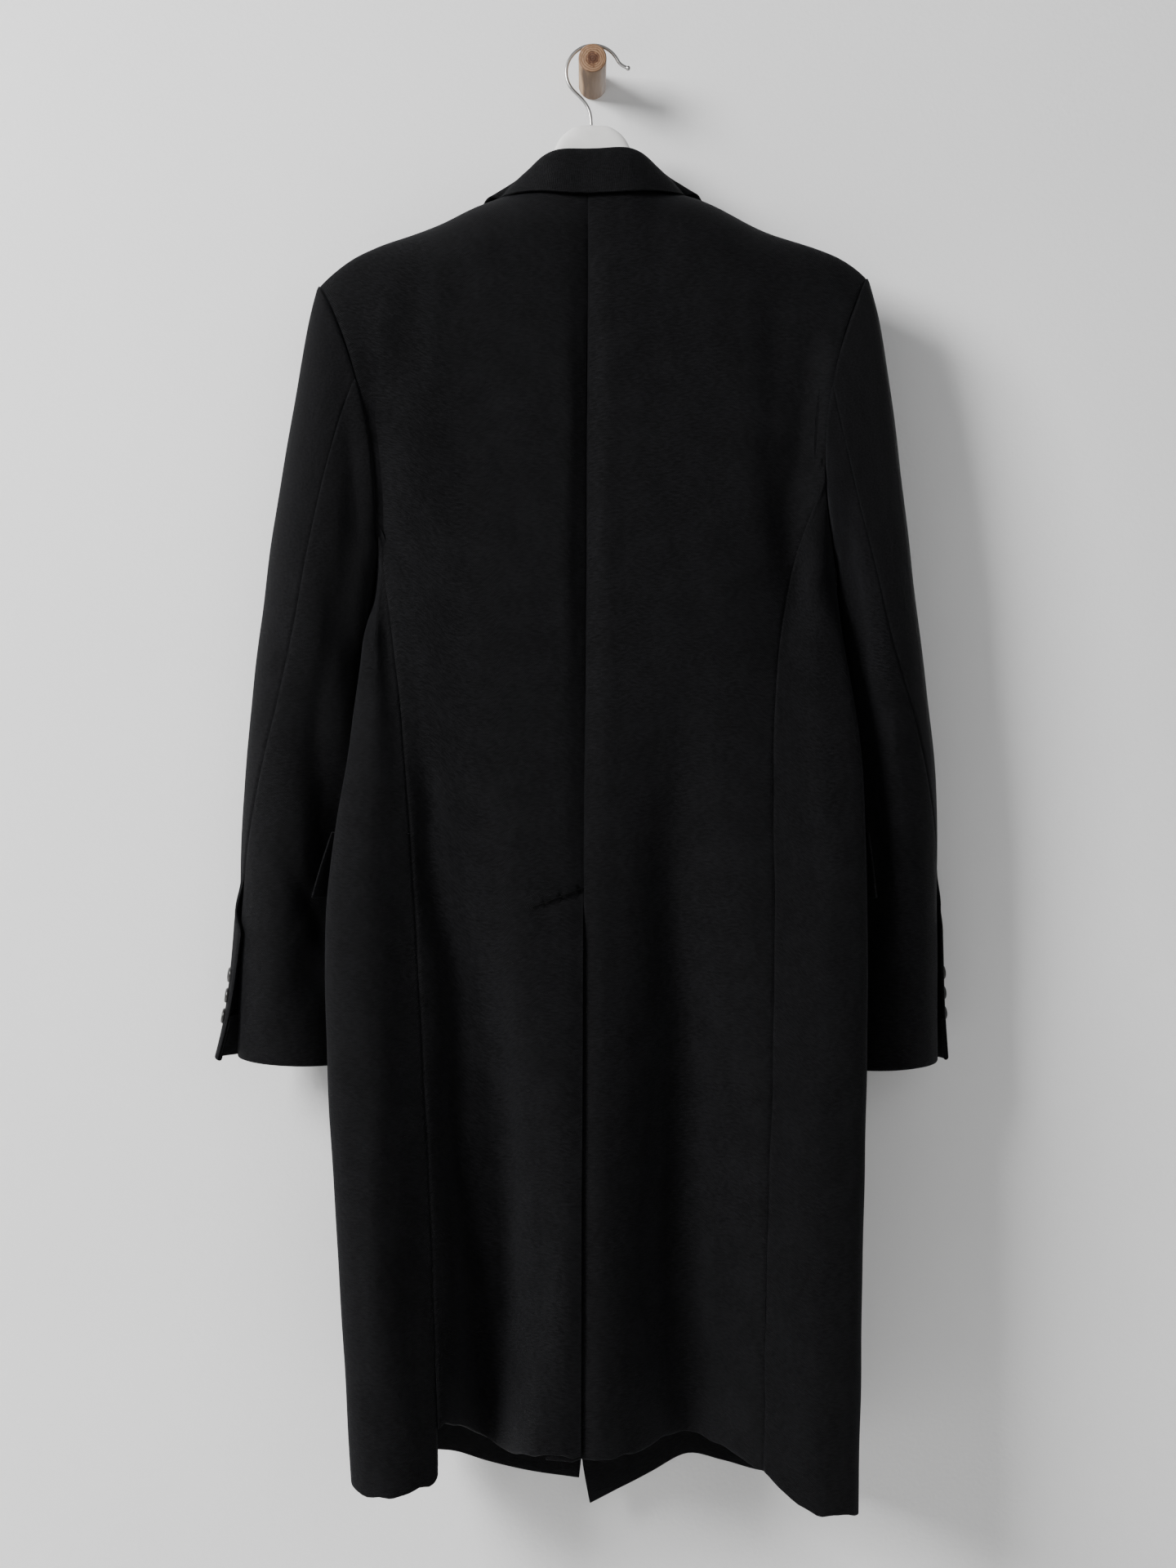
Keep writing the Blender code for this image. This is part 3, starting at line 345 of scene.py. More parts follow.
def sleeve_ring(side, share, angle, out=0.0):
    """A point of a sleeve: angle 0 is its outer edge, 90 its back, 180 its inner edge."""
    row = {name: column(SLEEVE[side], name, share) for name in SLEEVE_COLUMNS.split()[1:]}
    turn = np.radians(angle)
    half = (row["outer"] - row["inner"]) / 2
    x = (row["outer"] + row["inner"]) / 2 + (half + out) * np.cos(turn)
    x = x - row["inset"] * np.sin(turn) ** 2
    y = mix(row["front"], row["back"], 0.5) + ((row["back"] - row["front"]) / 2 - out) * np.sin(turn)
    z = mix(row["inner_z"], row["outer_z"], (1 + np.cos(turn)) / 2)
    return side * x, y, z


def armhole(side, angle):
    return sleeve_ring(side, 0.0 * angle, angle)


# %% [markdown]
# A pattern maker thinks of a panel as a shape with two long edges. Here u runs across a panel
# from its middle edge to its side seam, and v runs up it from the hem to the shoulder, so one
# function places every point of a panel, however fine its grid is.

# %% Where every point of a panel goes
def outer_edge(side, v, join, hem, seam_name, face):
    """The outer edge of a back or a front: up its side seam, then round the armhole."""
    ax, ay, az = armhole(side, np.float64(join))
    z = mix(hem, az, np.clip(v / JOIN_SHARE, 0, 1))
    near = ease(1 - (az - z) / ARM_BLEND)
    seam = side * column(SIDE[side], seam_name, z)
    seam = seam + (ax - side * column(SIDE[side], seam_name, az)) * near
    depth = face(seam, z) + (ay - face(ax, az)) * near
    rise = np.clip((v - JOIN_SHARE) / (1 - JOIN_SHARE), 0, 1)
    hx, hy, hz = armhole(side, join * (1 - rise))
    below = v <= JOIN_SHARE
    return np.where(below, seam, hx), np.where(below, depth, hy), np.where(below, z, hz)


def panel(side, u, v, face, middle_x, hem_rows, join, seam_name):
    """A back or a front: u from its middle edge to its outer one, v from the hem to the top."""
    middle_hem = column(hem_rows, "z", middle_x(np.float64(HEM_LEVEL)))
    seam_hem = side * column(SIDE[side], seam_name, HEM_LEVEL)
    hem_outer = column(hem_rows, "z", seam_hem)
    ex, ey, ez = outer_edge(side, v, join, hem_outer, seam_name, face)
    join_z = armhole(side, np.float64(join))[2]
    climb = np.clip(v / JOIN_SHARE, 0, 1)
    rise = np.clip((v - JOIN_SHARE) / (1 - JOIN_SHARE), 0, 1)
    top_z = shoulder_z(middle_x(np.float64(NECK_LEVEL)))
    mz = np.where(v <= JOIN_SHARE, mix(middle_hem, join_z, climb), mix(join_z, top_z, rise))
    mx = middle_x(mz)
    x = mix(mx, ex, u)
    z = mix(mz, ez, u)
    tip_z = armhole(side, np.float64(0.0))[2]
    z = z + rise**3 * (shoulder_z(x) - mix(top_z, tip_z, u))
    z = z + (column(hem_rows, "z", x) - mix(middle_hem, hem_outer, u)) * (1 - climb) ** 2
    middle = column(BACK, "middle", mz)
    share = mix(u, (x - middle) / (ex - middle), rise**SHOULDER_JOIN)
    y = face(x, z) + (ey - face(ex, ez)) * ease((share - 0.5) / 0.5)
    return x, y, z


def back_panel(side, u, v):
    def middle_x(z):
        return column(BACK, "middle", z) + side * SEAM / 2

    x, y, z = panel(side, np.clip(u, 0, 1), v, back_depth, middle_x, BACK_HEM,
                    JOIN_BACK[side], "seam")
    if side == RIGHT:
        vent = v <= VENT_SHARE_BACK + 1e-6
        x = np.where(vent & (u <= 0), x + VENT_STEP, x)
        x = np.where(u < 0, column(BACK, "middle", z) - mix(0.0006, VENT_LAP, (-u - 1) / 2), x)
        y = np.where(u < 0, back_depth(x, z) + UNDER_LAP * (1 + UNDERLAP_SPREAD * (-u - 1) / 2), y)
    return x, y - SEAM / 2, z


def tucked(side, x, y):
    """Sinks the right front's edge under the left front."""
    return y - UNDER_LAP * ease((0.060 - x) / 0.030) if side == RIGHT else y


def front_panel(side, u, v):
    x, y, z = panel(side, u, v, front_depth, lambda z: front_edge(side, z), FRONT_HEM[side],
                    JOIN_FRONT, "front")
    return x, tucked(side, x, y) + SEAM / 2, z


def side_panel(side, u, v):
    share = mix(SIDE_FROM, SIDE_TO, u)
    ax, ay, az = armhole(side, mix(JOIN_BACK[side] + JOIN_SPACE, 360 + JOIN_FRONT - JOIN_SPACE, u))
    foot = side_ring(side, -1.225 + 0 * u, share)[0]
    front = column(FRONT_HEM[side], "z", foot)
    hem = mix(column(BACK_HEM, "z", foot), front, ease((share - 0.4) / 0.3))
    z = mix(hem, az, v)
    near = ease(1 - (az - z) / ARM_BLEND)
    x, y = side_ring(side, z, share)
    top_x, top_y = side_ring(side, az, share)
    return x + near * (ax - top_x), y + near * (ay - top_y), z


def armhole_space(side, share, angle):
    """Draws a sleeve's first rings out of the body's edge, most at the underarm."""
    turn = np.cos(np.radians(angle))
    space = HEAD_SPACE + OUTER_SPACE * np.clip(turn, 0, 1) + INNER_SPACE * np.clip(-turn, 0, 1)
    return side * space * (1 - ease(share / HEAD_SHARE))


def top_sleeve(side, u, v):
    seam = column(SLEEVE[side], "seam_angle", v)
    lap = VENT_ANGLE * ease((v - VENT_SHARE) / 0.02)
    angle = mix(SEAM_FRONT - 360 + SEAM_ANGLE, seam + lap - SEAM_ANGLE, u)
    open_share = np.clip((v - VENT_SHARE) / (1 - VENT_SHARE), 0, 1)
    out = LAP_LIFT * ease((v - VENT_SHARE + VENT_BLEND) / VENT_BLEND) * ease((angle - seam + 16) / 13)
    out = out + FLARE[side] * open_share**2 * ease((angle - seam + 40) / 50)
    x, y, z = sleeve_ring(side, v, angle, out)
    return x + armhole_space(side, v, angle), y, z


def under_sleeve(side, u, v):
    seam = column(SLEEVE[side], "seam_angle", v)
    angle = mix(seam + SEAM_ANGLE, SEAM_FRONT - SEAM_ANGLE, u)
    x, y, z = sleeve_ring(side, v, angle)
    return x + armhole_space(side, v, angle), y, z


# %% [markdown]
# The collar stands up from the neck seam, folds over at its roll line and falls back on to the
# coat. The lapels fold back the same way below it, on the side that faces the wall, and a flap
# covers each hip pocket. All of them are made from the panel they lie on, moved outwards.

# %% Collar, lapels and pocket flaps
# The collar, from the centre of the neck round to its front end: the neck seam, the roll line,
# and the free edge, which lies fall_drop below the shoulder line
COLLAR = table("share base base_y base_drop roll roll_y roll_z fall fall_drop",
    (0, 0, -78.5, 0, 0, -83.5, -88.5, 0, 16.5), (0.25, 36, -76.2, 0, 35, -81, -89, 43, 15.5),
    (0.4, 58, -61.2, 0, 50, -70, -95, 76, 8.4), (0.5, 66.2, -55.8, 0, 62.5, -56, -104, 90.5, 0),
    (0.65, 63, -44, 12, 66.5, -41, -118, 100, 8), (0.85, 59, -36, 35, 64, -31, -142, 108, 28),
    (1, 55, -34, 52, 61, -29, -164, 115, 48),
)
COLLAR_TILT = 0.030     # the collar sits a little higher to the right
ROLL = 0.0022           # radius of the collar's fold
REST = 0.0061           # from a panel's middle to that of the fall lying on it

# A lapel's width outside its roll line, by height
LAPEL = table("z width",
    (-430, 4), (-370, 36), (-300, 60), (-230, 76), (-200, 80),
)
LAPEL_BREAK = {LEFT: -0.430, RIGHT: -0.374}
LAPEL_GORGE = -0.171
LAPEL_BULGE = 0.0010    # how far the middle of a lapel stands off the front
GORGE_FALL = 0.030      # how much lower the lapel's point is than the gorge at the roll line
LAPEL_INSET = 0.0012    # from the front's edge to the lapel's roll line

FLAP_TOP = -0.682
FLAP_HEIGHT = 0.056
FLAP_REACH = 0.085      # on to the front panel
FLAP_LIFT = 0.0037      # from the panel beneath to the flap's top edge
FLAP_TILT = 0.0016      # how much further out its lower edge is
FLAP_CORNER = {LEFT: 0.0090, RIGHT: 0.0040}  # how far its rear corner stands out


def collar(share, across):
    """share -1 to 1 round the neck, across 0 at the neck seam to 1 at the free edge."""
    side = np.where(share < 0, -1.0, 1.0)
    row = {name: column(COLLAR, name, abs(share)) for name in COLLAR}
    base = np.stack([side * row["base"], row["base_y"],
                     shoulder_z(side * row["base"]) + CLOTH / 2 + SEAM - row["base_drop"]])
    roll = np.stack([side * row["roll"], row["roll_y"], row["roll_z"] + COLLAR_TILT * side * row["roll"]])
    fx = side * row["fall"]
    fz = shoulder_z(fx) + REST - row["fall_drop"]
    on_back = back_depth(fx, np.minimum(fz, shoulder_z(fx)))
    on_front = front_depth(fx, np.minimum(fz, shoulder_z(fx)))
    lean = np.clip(abs(share), 0, 1)
    turned = np.clip(2.2 * np.cos(np.pi * lean), -1, 1)
    fy = np.where(lean < 0.5, on_back, on_front) - REST * turned
    edge = np.stack([fx, fy, fz])
    outwards = edge - base
    outwards[2] = 0
    outwards = outwards / np.linalg.norm(outwards, axis=0)
    up = np.zeros_like(outwards)
    up[2] = 1
    inner = roll - outwards * ROLL - up * ROLL
    outer = roll + outwards * ROLL - up * ROLL
    shift = ROLL * 0.3 * (outwards + up)
    stops = [base, mix(base, inner, 0.5), inner, roll, outer, mix(outer, edge, 0.5) + shift, edge]
    knots = (0, 0.2, 0.4, 0.48, 0.56, 0.78, 1)
    return tuple(through(knots, [stop[axis] for stop in stops], across) for axis in range(3))


def lapel(side, u, v):
    """u from the roll line to the outer edge, v from the break up to the gorge."""
    z = mix(LAPEL_BREAK[side], LAPEL_GORGE, v)
    x = front_edge(side, z) + side * (LAPEL_INSET + u * column(LAPEL, "width", z))
    z = z - GORGE_FALL * u * v**3
    lift = SEAM / 2 + CLOTH + LAY + LAPEL_BULGE * np.sin(np.pi * u)
    return x, front_depth(x, z) + lift, z


def flap(side, u, v):
    """A hip flap: u from its rear end on the flank to its front end, v from its top down."""
    z = FLAP_TOP - FLAP_HEIGHT * v
    round_side = np.clip(u / 0.5, 0, 1)
    share = mix(0.53, 1.0, round_side)
    x, y = side_ring(side, z, share)
    on_front = np.clip((u - 0.5) / 0.5, 0, 1)
    x = x - side * FLAP_REACH * on_front
    y = np.where(u > 0.5, front_depth(x, z), y)
    turn = np.pi / 2 * ease((share - 0.62) / 0.38)
    lift = FLAP_LIFT + FLAP_CORNER[side] * v * ease(1 - u / 0.18) + FLAP_TILT * v
    return x + side * lift * np.cos(turn), y + lift * np.sin(turn), z


RIGHT_JOIN_Z = float(armhole(RIGHT, np.float64(JOIN_BACK[RIGHT]))[2])
MIDDLE_HEM = float(column(BACK_HEM, "z", -0.010))


def row_at(z):
    """The place of a height among the right back's rows at the centre seam."""
    return JOIN_SHARE * (z - MIDDLE_HEM) / (RIGHT_JOIN_Z - MIDDLE_HEM)


VENT_SHARE_BACK = row_at(VENT_TOP)
print("the vent opens at row share", round(VENT_SHARE_BACK, 3))


# %% [markdown]
# Wool twill shows fine slanting ribs, because each thread passes over two others and the step
# moves along by one on every row. Two slanted waves make the ribs and break them into short
# floats. The group below reads the cloth's own coordinates in metres, so the ribs stay in place
# however the panel hangs.

# %% The twill, as a node group
def feed(tree, socket, value):
    """Gives a socket another node's output, or else a fixed value."""
    if isinstance(value, bpy.types.NodeSocket):
        tree.links.new(value, socket)
    else:
        socket.default_value = value


def node(tree, kind, inputs=None, **settings):
    """Adds a shader node, with its properties by name and its inputs by name or place."""
    made = tree.nodes.new(kind)
    for name, value in settings.items():
        setattr(made, name, value)
    for name, value in (inputs or {}).items():
        feed(tree, made.inputs[name], value)
    return made


def math_node(tree, operation, first, second=0.0):
    return node(tree, "ShaderNodeMath", {0: first, 1: second}, operation=operation).outputs[0]


def plus(tree, first, second):
    return math_node(tree, "ADD", first, second)


def times(tree, first, second):
    return math_node(tree, "MULTIPLY", first, second)


def noise(tree, place, scale, detail=2, distortion=0):
    """The factor of a noise texture."""
    inputs = {"Vector": place, "Scale": scale, "Detail": detail, "Distortion": distortion}
    return node(tree, "ShaderNodeTexNoise", inputs).outputs["Fac"]


WHOLE_WAVE = 6.2832


def twill_group():
    group = bpy.data.node_groups.new("wool twill", "ShaderNodeTree")
    for name, kind in (("Cloth", "NodeSocketVector"), ("Pitch", "NodeSocketFloat"),
                       ("Steepness", "NodeSocketFloat")):
        group.interface.new_socket(name, in_out="INPUT", socket_type=kind)
    for name in ("Height", "Shade", "Fuzz"):
        group.interface.new_socket(name, in_out="OUTPUT", socket_type="NodeSocketFloat")
    given = node(group, "NodeGroupInput").outputs
    cloth, pitch = given["Cloth"], given["Pitch"]
    split = node(group, "ShaderNodeSeparateXYZ", {0: cloth}).outputs
    x, y = split["X"], split["Y"]
    across = math_node(group, "SUBTRACT", times(group, x, given["Steepness"]), y)
    stray = times(group, noise(group, cloth, 160, 3), 2.2)
    turns = plus(group, math_node(group, "DIVIDE", across, pitch), stray)
    rib = math_node(group, "SINE", times(group, turns, WHOLE_WAVE))
    weft = math_node(group, "DIVIDE", plus(group, y, times(group, x, 0.4)), times(group, pitch, 0.8))
    float_wave = math_node(group, "SINE", times(group, weft, WHOLE_WAVE))
    height = plus(group, rib, times(group, float_wave, 0.45))
    slant = {"Vector": cloth, "Rotation": (0, 0, np.radians(-38)), "Scale": (190, 700, 1)}
    slub = noise(group, node(group, "ShaderNodeMapping", slant).outputs["Vector"], 1, 4)
    node(group, "NodeGroupOutput", {"Height": height, "Fuzz": noise(group, cloth, 34, 5),
                                    "Shade": plus(group, times(group, height, 0.15), slub)})
    return group


TWILL = twill_group()
print("twill group has", len(TWILL.nodes), "nodes")

# %% [markdown]
# Black wool is never quite black. It reflects less than one hundredth of the light, most where
# its nap catches it, and has a soft sheen at glancing angles. The twill drives the bump and a
# slight change of shade, and a wide, faint noise keeps a panel from looking printed.

# %% Wool
WOOL_DARK = (0.0003, 0.0003, 0.0004)
WOOL_LIGHT = (0.0068, 0.0068, 0.0076)
TWILL_PITCH = 0.0015    # from one rib to the next


def surface(name, roughness, specular=0.5, metallic=0.0):
    """A new material, with its node tree and its Principled shader."""
    made = bpy.data.materials.new(name)
    made.use_nodes = True
    shader = made.node_tree.nodes["Principled BSDF"]
    shader.inputs["Roughness"].default_value = roughness
    shader.inputs["Specular IOR Level"].default_value = specular
    shader.inputs["Metallic"].default_value = metallic
    return made, made.node_tree, shader


def ramp(tree, factor, *stops):
    """A colour ramp on a factor, from (place, colour) stops."""
    made = node(tree, "ShaderNodeValToRGB", {"Fac": factor})
    while len(made.color_ramp.elements) < len(stops):
        made.color_ramp.elements.new(0.5)
    for element, (place, colour) in zip(made.color_ramp.elements, stops):
        element.position = place
        element.color = (*colour, 1)
    return made.outputs["Color"]


def multiplied(tree, factor, first, second):
    """Two colours multiplied, as far as factor says."""
    return node(tree, "ShaderNodeMix", {0: factor, 6: first, 7: second}, data_type="RGBA",
                blend_type="MULTIPLY").outputs[2]


def bump(tree, shader, height, distance, strength=1.0):
    made = node(tree, "ShaderNodeBump", {"Distance": distance, "Strength": strength, "Height": height})
    feed(tree, shader.inputs["Normal"], made.outputs["Normal"])


def mottled(name, roughness, specular, scale, detail, low, high, metallic=0.0, distortion=0):
    """A material whose colour runs between two stops of a noise, with that noise's factor."""
    made, tree, shader = surface(name, roughness, specular, metallic)
    place = node(tree, "ShaderNodeTexCoord").outputs["Object"]
    factor = noise(tree, place, scale, detail, distortion)
    feed(tree, shader.inputs["Base Color"], ramp(tree, factor, low, high))
    return made, tree, shader, place, factor


WOOL, tree, shader = surface("black wool twill", 0.78, 0.062)
shader.inputs["Sheen Weight"].default_value = 0.022
shader.inputs["Sheen Roughness"].default_value = 0.45
shader.inputs["Sheen Tint"].default_value = (0.80, 0.82, 0.92, 1)
cloth = node(tree, "ShaderNodeUVMap", uv_map="cloth").outputs["UV"]
weave = node(tree, "ShaderNodeGroup", {"Cloth": cloth, "Pitch": TWILL_PITCH, "Steepness": 1.25},
             node_tree=TWILL).outputs
shade = plus(tree, weave["Shade"], times(tree, weave["Fuzz"], 0.35))
feed(tree, shader.inputs["Base Color"], ramp(tree, shade, (0.49, WOOL_DARK), (0.88, WOOL_LIGHT)))
feed(tree, shader.inputs["Roughness"], plus(tree, times(tree, weave["Fuzz"], 0.16), 0.68))
bump(tree, shader, weave["Height"], 0.00012)
print("the wool's colour:", WOOL_DARK[0], "to", WOOL_LIGHT[0], "of the light that falls on it")

# %% [markdown]
# Creases are listed one by one. Each row is one soft trough, or a ridge where its depth is below 0:
# its two ends in x and z, its width and its depth, in millimetres. Their lengths, depths and
# spaces are as uneven as the real ones, and the hidden fronts have some too.

# %% Creases, hems and a panel's normals
BACK_CREASES = np.array([
    (-193, -290, -187, -560, 12, 5), (-178, -205, -180, -290, 10, -2.8),
    (-136, -200, -140, -310, 8, -1.8), (152, -215, 166, -480, 13, 3.6), (52, -215, 58, -330, 12, 0.9),
    (150, -300, 172, -180, 12, 1), (184, -270, 168, -540, 11, 3.6), (-20, -240, -22, -560, 7, -0.9),
    (12, -260, 12, -640, 8, -1), (-149, -605, -117, -840, 11, 6.5), (-119, -810, -98, -1180, 12, 8),
    (-74, -800, -70, -1150, 8, 2.2), (76, -600, 70, -1120, 20, 8.5), (-46, -880, -43, -1190, 18, 5.8),
    (30, -900, 26, -1190, 11, 1), (118, -820, 124, -1120, 12, 1.2), (-152, -980, -146, -1200, 9, 1.6),
    (-176, -760, -182, -1140, 8, -1.4), (176, -560, 190, -760, 10, 1.8),
    (170, -900, 180, -1180, 12, -1.2),
]) / 1000
SLEEVE_CREASES = np.array([
    (-222, -430, -236, -620, 9, 2.2), (-203, -290, -210, -560, 13, 6),
    (-226, -540, -232, -870, 26, 13), (-264, -700, -222, -790, 8, 3.2), (-226, -640, -250, -760, 8, 2),
    (-222, -700, -262, -775, 6, 1.6), (-262, -520, -284, -600, 7, 1),
    (-270, -700, -276, -850, 9, -1.2), (-232, -790, -228, -870, 7, 1.2),
    (216.5, -380, 238, -600, 10, 4.5), (236, -560, 238, -850, 18, 9), (250, -500, 266, -660, 6, -1.6),
    (232, -620, 252, -740, 8, 2.4), (262, -660, 276, -820, 8, 1.4), (240, -760, 232, -860, 8, 1.2),
    (262, -300, 270, -420, 8, 0.8),
]) / 1000
FRONT_CREASES = np.array([
    (-120, -260, -130, -430, 10, 1.4), (128, -250, 120, -450, 11, 1.4),
    (-60, -520, -80, -760, 10, 1.6), (70, -500, 92, -700, 12, 1.4), (-110, -800, -104, -1180, 14, 2.2),
    (-60, -900, -52, -1200, 12, -1.4), (80, -820, 92, -1190, 14, 2.2), (44, -960, 40, -1210, 10, -1.2),
]) / 1000


RIPPLE = 0.00013        # height of each of the ripple's waves
HEM_WAVE = 0.0011       # how far a hem hangs up and down
HEM_WAVE_HEIGHT = 0.030
CREASE_PAST = 0.15      # how far a crease runs past each end, as a share of its length
CREASE_FADE = 0.45      # the share over which it fades


def crease_depth(rows, x, z):
    """How far the creases sink the cloth at each point, soft across and at both ends."""
    depth = np.zeros_like(x)
    for from_x, from_z, to_x, to_z, width, deepest in rows:
        run_x, run_z = to_x - from_x, to_z - from_z
        length = np.hypot(run_x, run_z)
        along = ((x - from_x) * run_x + (z - from_z) * run_z) / length**2
        off = ((x - from_x) * run_z - (z - from_z) * run_x) / length
        off = off + 0.25 * width * np.sin(9 * along + 40 * from_x)
        ends = ease((along + CREASE_PAST) / CREASE_FADE)
        ends = ends * ease((1 + CREASE_PAST - along) / CREASE_FADE)
        depth = depth + deepest * ends * np.exp(-((off / width) ** 2))
    return depth


def ripple(x, z):
    """The slight unevenness that no hanging cloth is without."""
    waves = ((61, 17, 0.3), (38, 44, 1.9), (93, 8, 4.0), (24, 71, 2.6), (140, 33, 5.2))
    return sum(np.sin(a * x + b * z + c) for a, b, c in waves) * RIPPLE


def wavy_hem(points):
    """Lets a hem hang a little unevenly."""
    height, x = reach(points, 0), points[..., 0]
    wave = np.sin(96 * x + 0.6) + 0.7 * np.sin(213 * x + 2.0) + 0.4 * np.sin(371 * x + 4.4)
    points = points.copy()
    points[..., 2] += HEM_WAVE * wave * np.exp(-(height / HEM_WAVE_HEIGHT) ** 2)
    return points


HEM_LIFT_HEIGHT = 0.14  # how far above the hem the lift ends
HEM_LIFT = table("x z",
    (-131, 40), (-127.5, 34), (-122.1, 19), (-113, 9), (-102.5, 0), (-91.9, -9), (-76.4, -9.5),
    (-60.3, -1.5), (-42.7, 5.5), (-25.1, 6.5), (-12.4, 5), (0, 4),
)


def lifted_hem(points):
    """Draws the left back's hem up towards its side seam, as the photograph shows it."""
    height = reach(points, 0)
    points = points.copy()
    points[..., 2] += column(HEM_LIFT, "z", points[:1, :, 0]) * (1 - ease(height / HEM_LIFT_HEIGHT))
    return points


def outward(points, facing):
    """Unit normals of a grid of points, turned to the side of facing."""
    normal = np.cross(np.gradient(points, axis=1), np.gradient(points, axis=0))
    normal /= np.maximum(np.linalg.norm(normal, axis=2, keepdims=True), 1e-12)
    return normal * (1 if (normal * facing).sum(axis=2).mean() > 0 else -1)


# %% [markdown]
# A panel starts from Blender's own grid, whose points are then carried to their places. Its edge
# dips a little into each seam, and at the hem it turns round and up inside by 35 mm, as a sewn
# hem does, so that the lower edge is thick and round. Solidify gives the wall, and a small bevel
# takes the sharpness off its edges.

# %% Sheets of cloth
HEM_TURN = 0.035        # how far a hem is turned up inside
WALL = 0.0018           # thickness of a finished panel
SEAM_DIP = 0.0009       # how far a panel dips into a seam
SEAM_ROLL = 0.0026      # over what width
TOP_DIP = 0.35          # the share of that dip at a panel's top
TOP_BLEND = 0.015       # height over which it grows to the whole
HEM_SPACE = 0.0004      # between a hem's two layers
# How far in and out the strips of a seam allowance lie from the edge it starts at
ALLOWANCE = ((0.0012, 0.0002), (0.0022, 0.0010), (0.0023, 0.0070))


def reach(points, axis):
    """Distance along a grid of points, from its first row or column."""
    steps = np.linalg.norm(np.diff(points, axis=axis), axis=2)
    start = np.zeros_like(np.take(steps, [0], axis=axis))
    return np.concatenate([start, np.cumsum(steps, axis=axis)], axis=axis)


def shaped(points, normal, sink, left=False):
    """Sinks a sheet by its creases, and its right edge, top and perhaps left edge into seams."""
    points = points - normal * sink[..., None]
    width, height = reach(points, 1), reach(points, 0)
    top = height[-1:] - height
    gap = np.minimum(width[:, -1:] - width, top)
    if left:
        gap = np.minimum(gap, width)
    dip = SEAM_DIP * (1 - ease(gap / SEAM_ROLL)) * mix(TOP_DIP, 1, ease(top / TOP_BLEND))
    return points - normal * dip[..., None]


def underlap(points, normal):
    """Adds a seam allowance at both sides, which lies under the panel next to it."""
    for edge, inner in ((0, 1), (-1, -2)):
        rim, up = points[:, edge], normal[:, edge]
        out = rim - points[:, inner]
        out /= np.maximum(np.linalg.norm(out, axis=1, keepdims=True), 1e-9)
        more = np.stack([rim - up * down + out * on for down, on in ALLOWANCE], axis=1)
        ups = np.stack([up] * len(ALLOWANCE), axis=1)
        pair = ([more[:, ::-1], points], [ups, normal])
        if edge == -1:
            pair = ([points, more], [normal, ups])
        points, normal = (np.concatenate(parts, axis=1) for parts in pair)
    return points, normal


def turned_up(points, normal):
    """Adds a hem below a grid's first row: round its edge and up the inside."""
    gap = WALL + HEM_SPACE
    height = reach(points, 0)
    inner = points - gap * normal
    rows = [[[np.interp(share * HEM_TURN, height[:, place], inner[:, place, axis])
              for axis in range(3)] for place in range(points.shape[1])]
            for share in np.linspace(1, 0, 8)]
    down = points[0] - points[1]
    down /= np.linalg.norm(down, axis=1, keepdims=True)
    centre = points[0] - normal[0] * gap / 2
    for angle in np.radians((140, 90, 40)):
        rows.append(centre + normal[0] * gap / 2 * np.cos(angle) + down * gap / 2 * np.sin(angle))
    return np.concatenate([np.array(rows), points], axis=0)


def lay(bm, points, kept=None):
    """Carries a new grid's points to their places, with their distances as UVs in metres."""
    rows, columns = points.shape[:2]
    made = bmesh.ops.create_grid(bm, x_segments=columns - 1, y_segments=rows - 1, size=0.5)
    layer = bm.loops.layers.uv.active or bm.loops.layers.uv.new("cloth")
    across, along = reach(points, 1), reach(points, 0)
    spot = {vert: (round((vert.co.y + 0.5) * (rows - 1)), round((vert.co.x + 0.5) * (columns - 1)))
            for vert in made["verts"]}
    for vert, (row, place) in spot.items():
        vert.co = points[row, place]
    faces = {face for vert in made["verts"] for face in vert.link_faces}
    for face in faces:
        for loop in face.loops:
            row, place = spot[loop.vert]
            loop[layer].uv = (across[row, place], along[row, place])
    if kept is not None:
        gone = [face for face in faces
                if not kept[min(spot[vert][0] for vert in face.verts),
                            min(spot[vert][1] for vert in face.verts)]]
        bmesh.ops.delete(bm, geom=gone, context="FACES")


def finish_mesh(name, bm, *materials):
    mesh = bpy.data.meshes.new(name)
    bm.to_mesh(mesh)
    bm.free()
    for one in materials:
        mesh.materials.append(one)
    mesh.shade_smooth()
    made = bpy.data.objects.new(name, mesh)
    bpy.context.scene.collection.objects.link(made)
    return made


CLOTH_PIECES = {}


def cloth_piece(name, points, wall=WALL, kept=None):
    """A finished panel: a wall of that thickness with soft edges."""
    bm = bmesh.new()
    lay(bm, points, kept)
    made = finish_mesh(name, bm, WOOL)
    solid = made.modifiers.new("wall", "SOLIDIFY")
    solid.thickness = wall
    solid.offset = 0
    soft = made.modifiers.new("soft edge", "BEVEL")
    soft.width = wall * 0.42
    soft.segments = 2
    soft.limit_method = "ANGLE"
    soft.angle_limit = np.radians(55)
    soft.harden_normals = True
    CLOTH_PIECES[name] = (made, points)


def placed(place, columns, rows, *side):
    """The points place(side, u, v) of every column and row, as an array."""
    u, v = np.meshgrid(columns, rows)
    return np.stack([part.reshape(u.shape) for part in place(*side, u.ravel(), v.ravel())], axis=2)


# %% [markdown]
# Now the panels. Rows are closest at the vent and near the shoulder, where the form turns most.
# The left back ends in the vent's free edge, and a slanting line of stitches holds the top of
# the vent, with the cloth a little fuller above it.

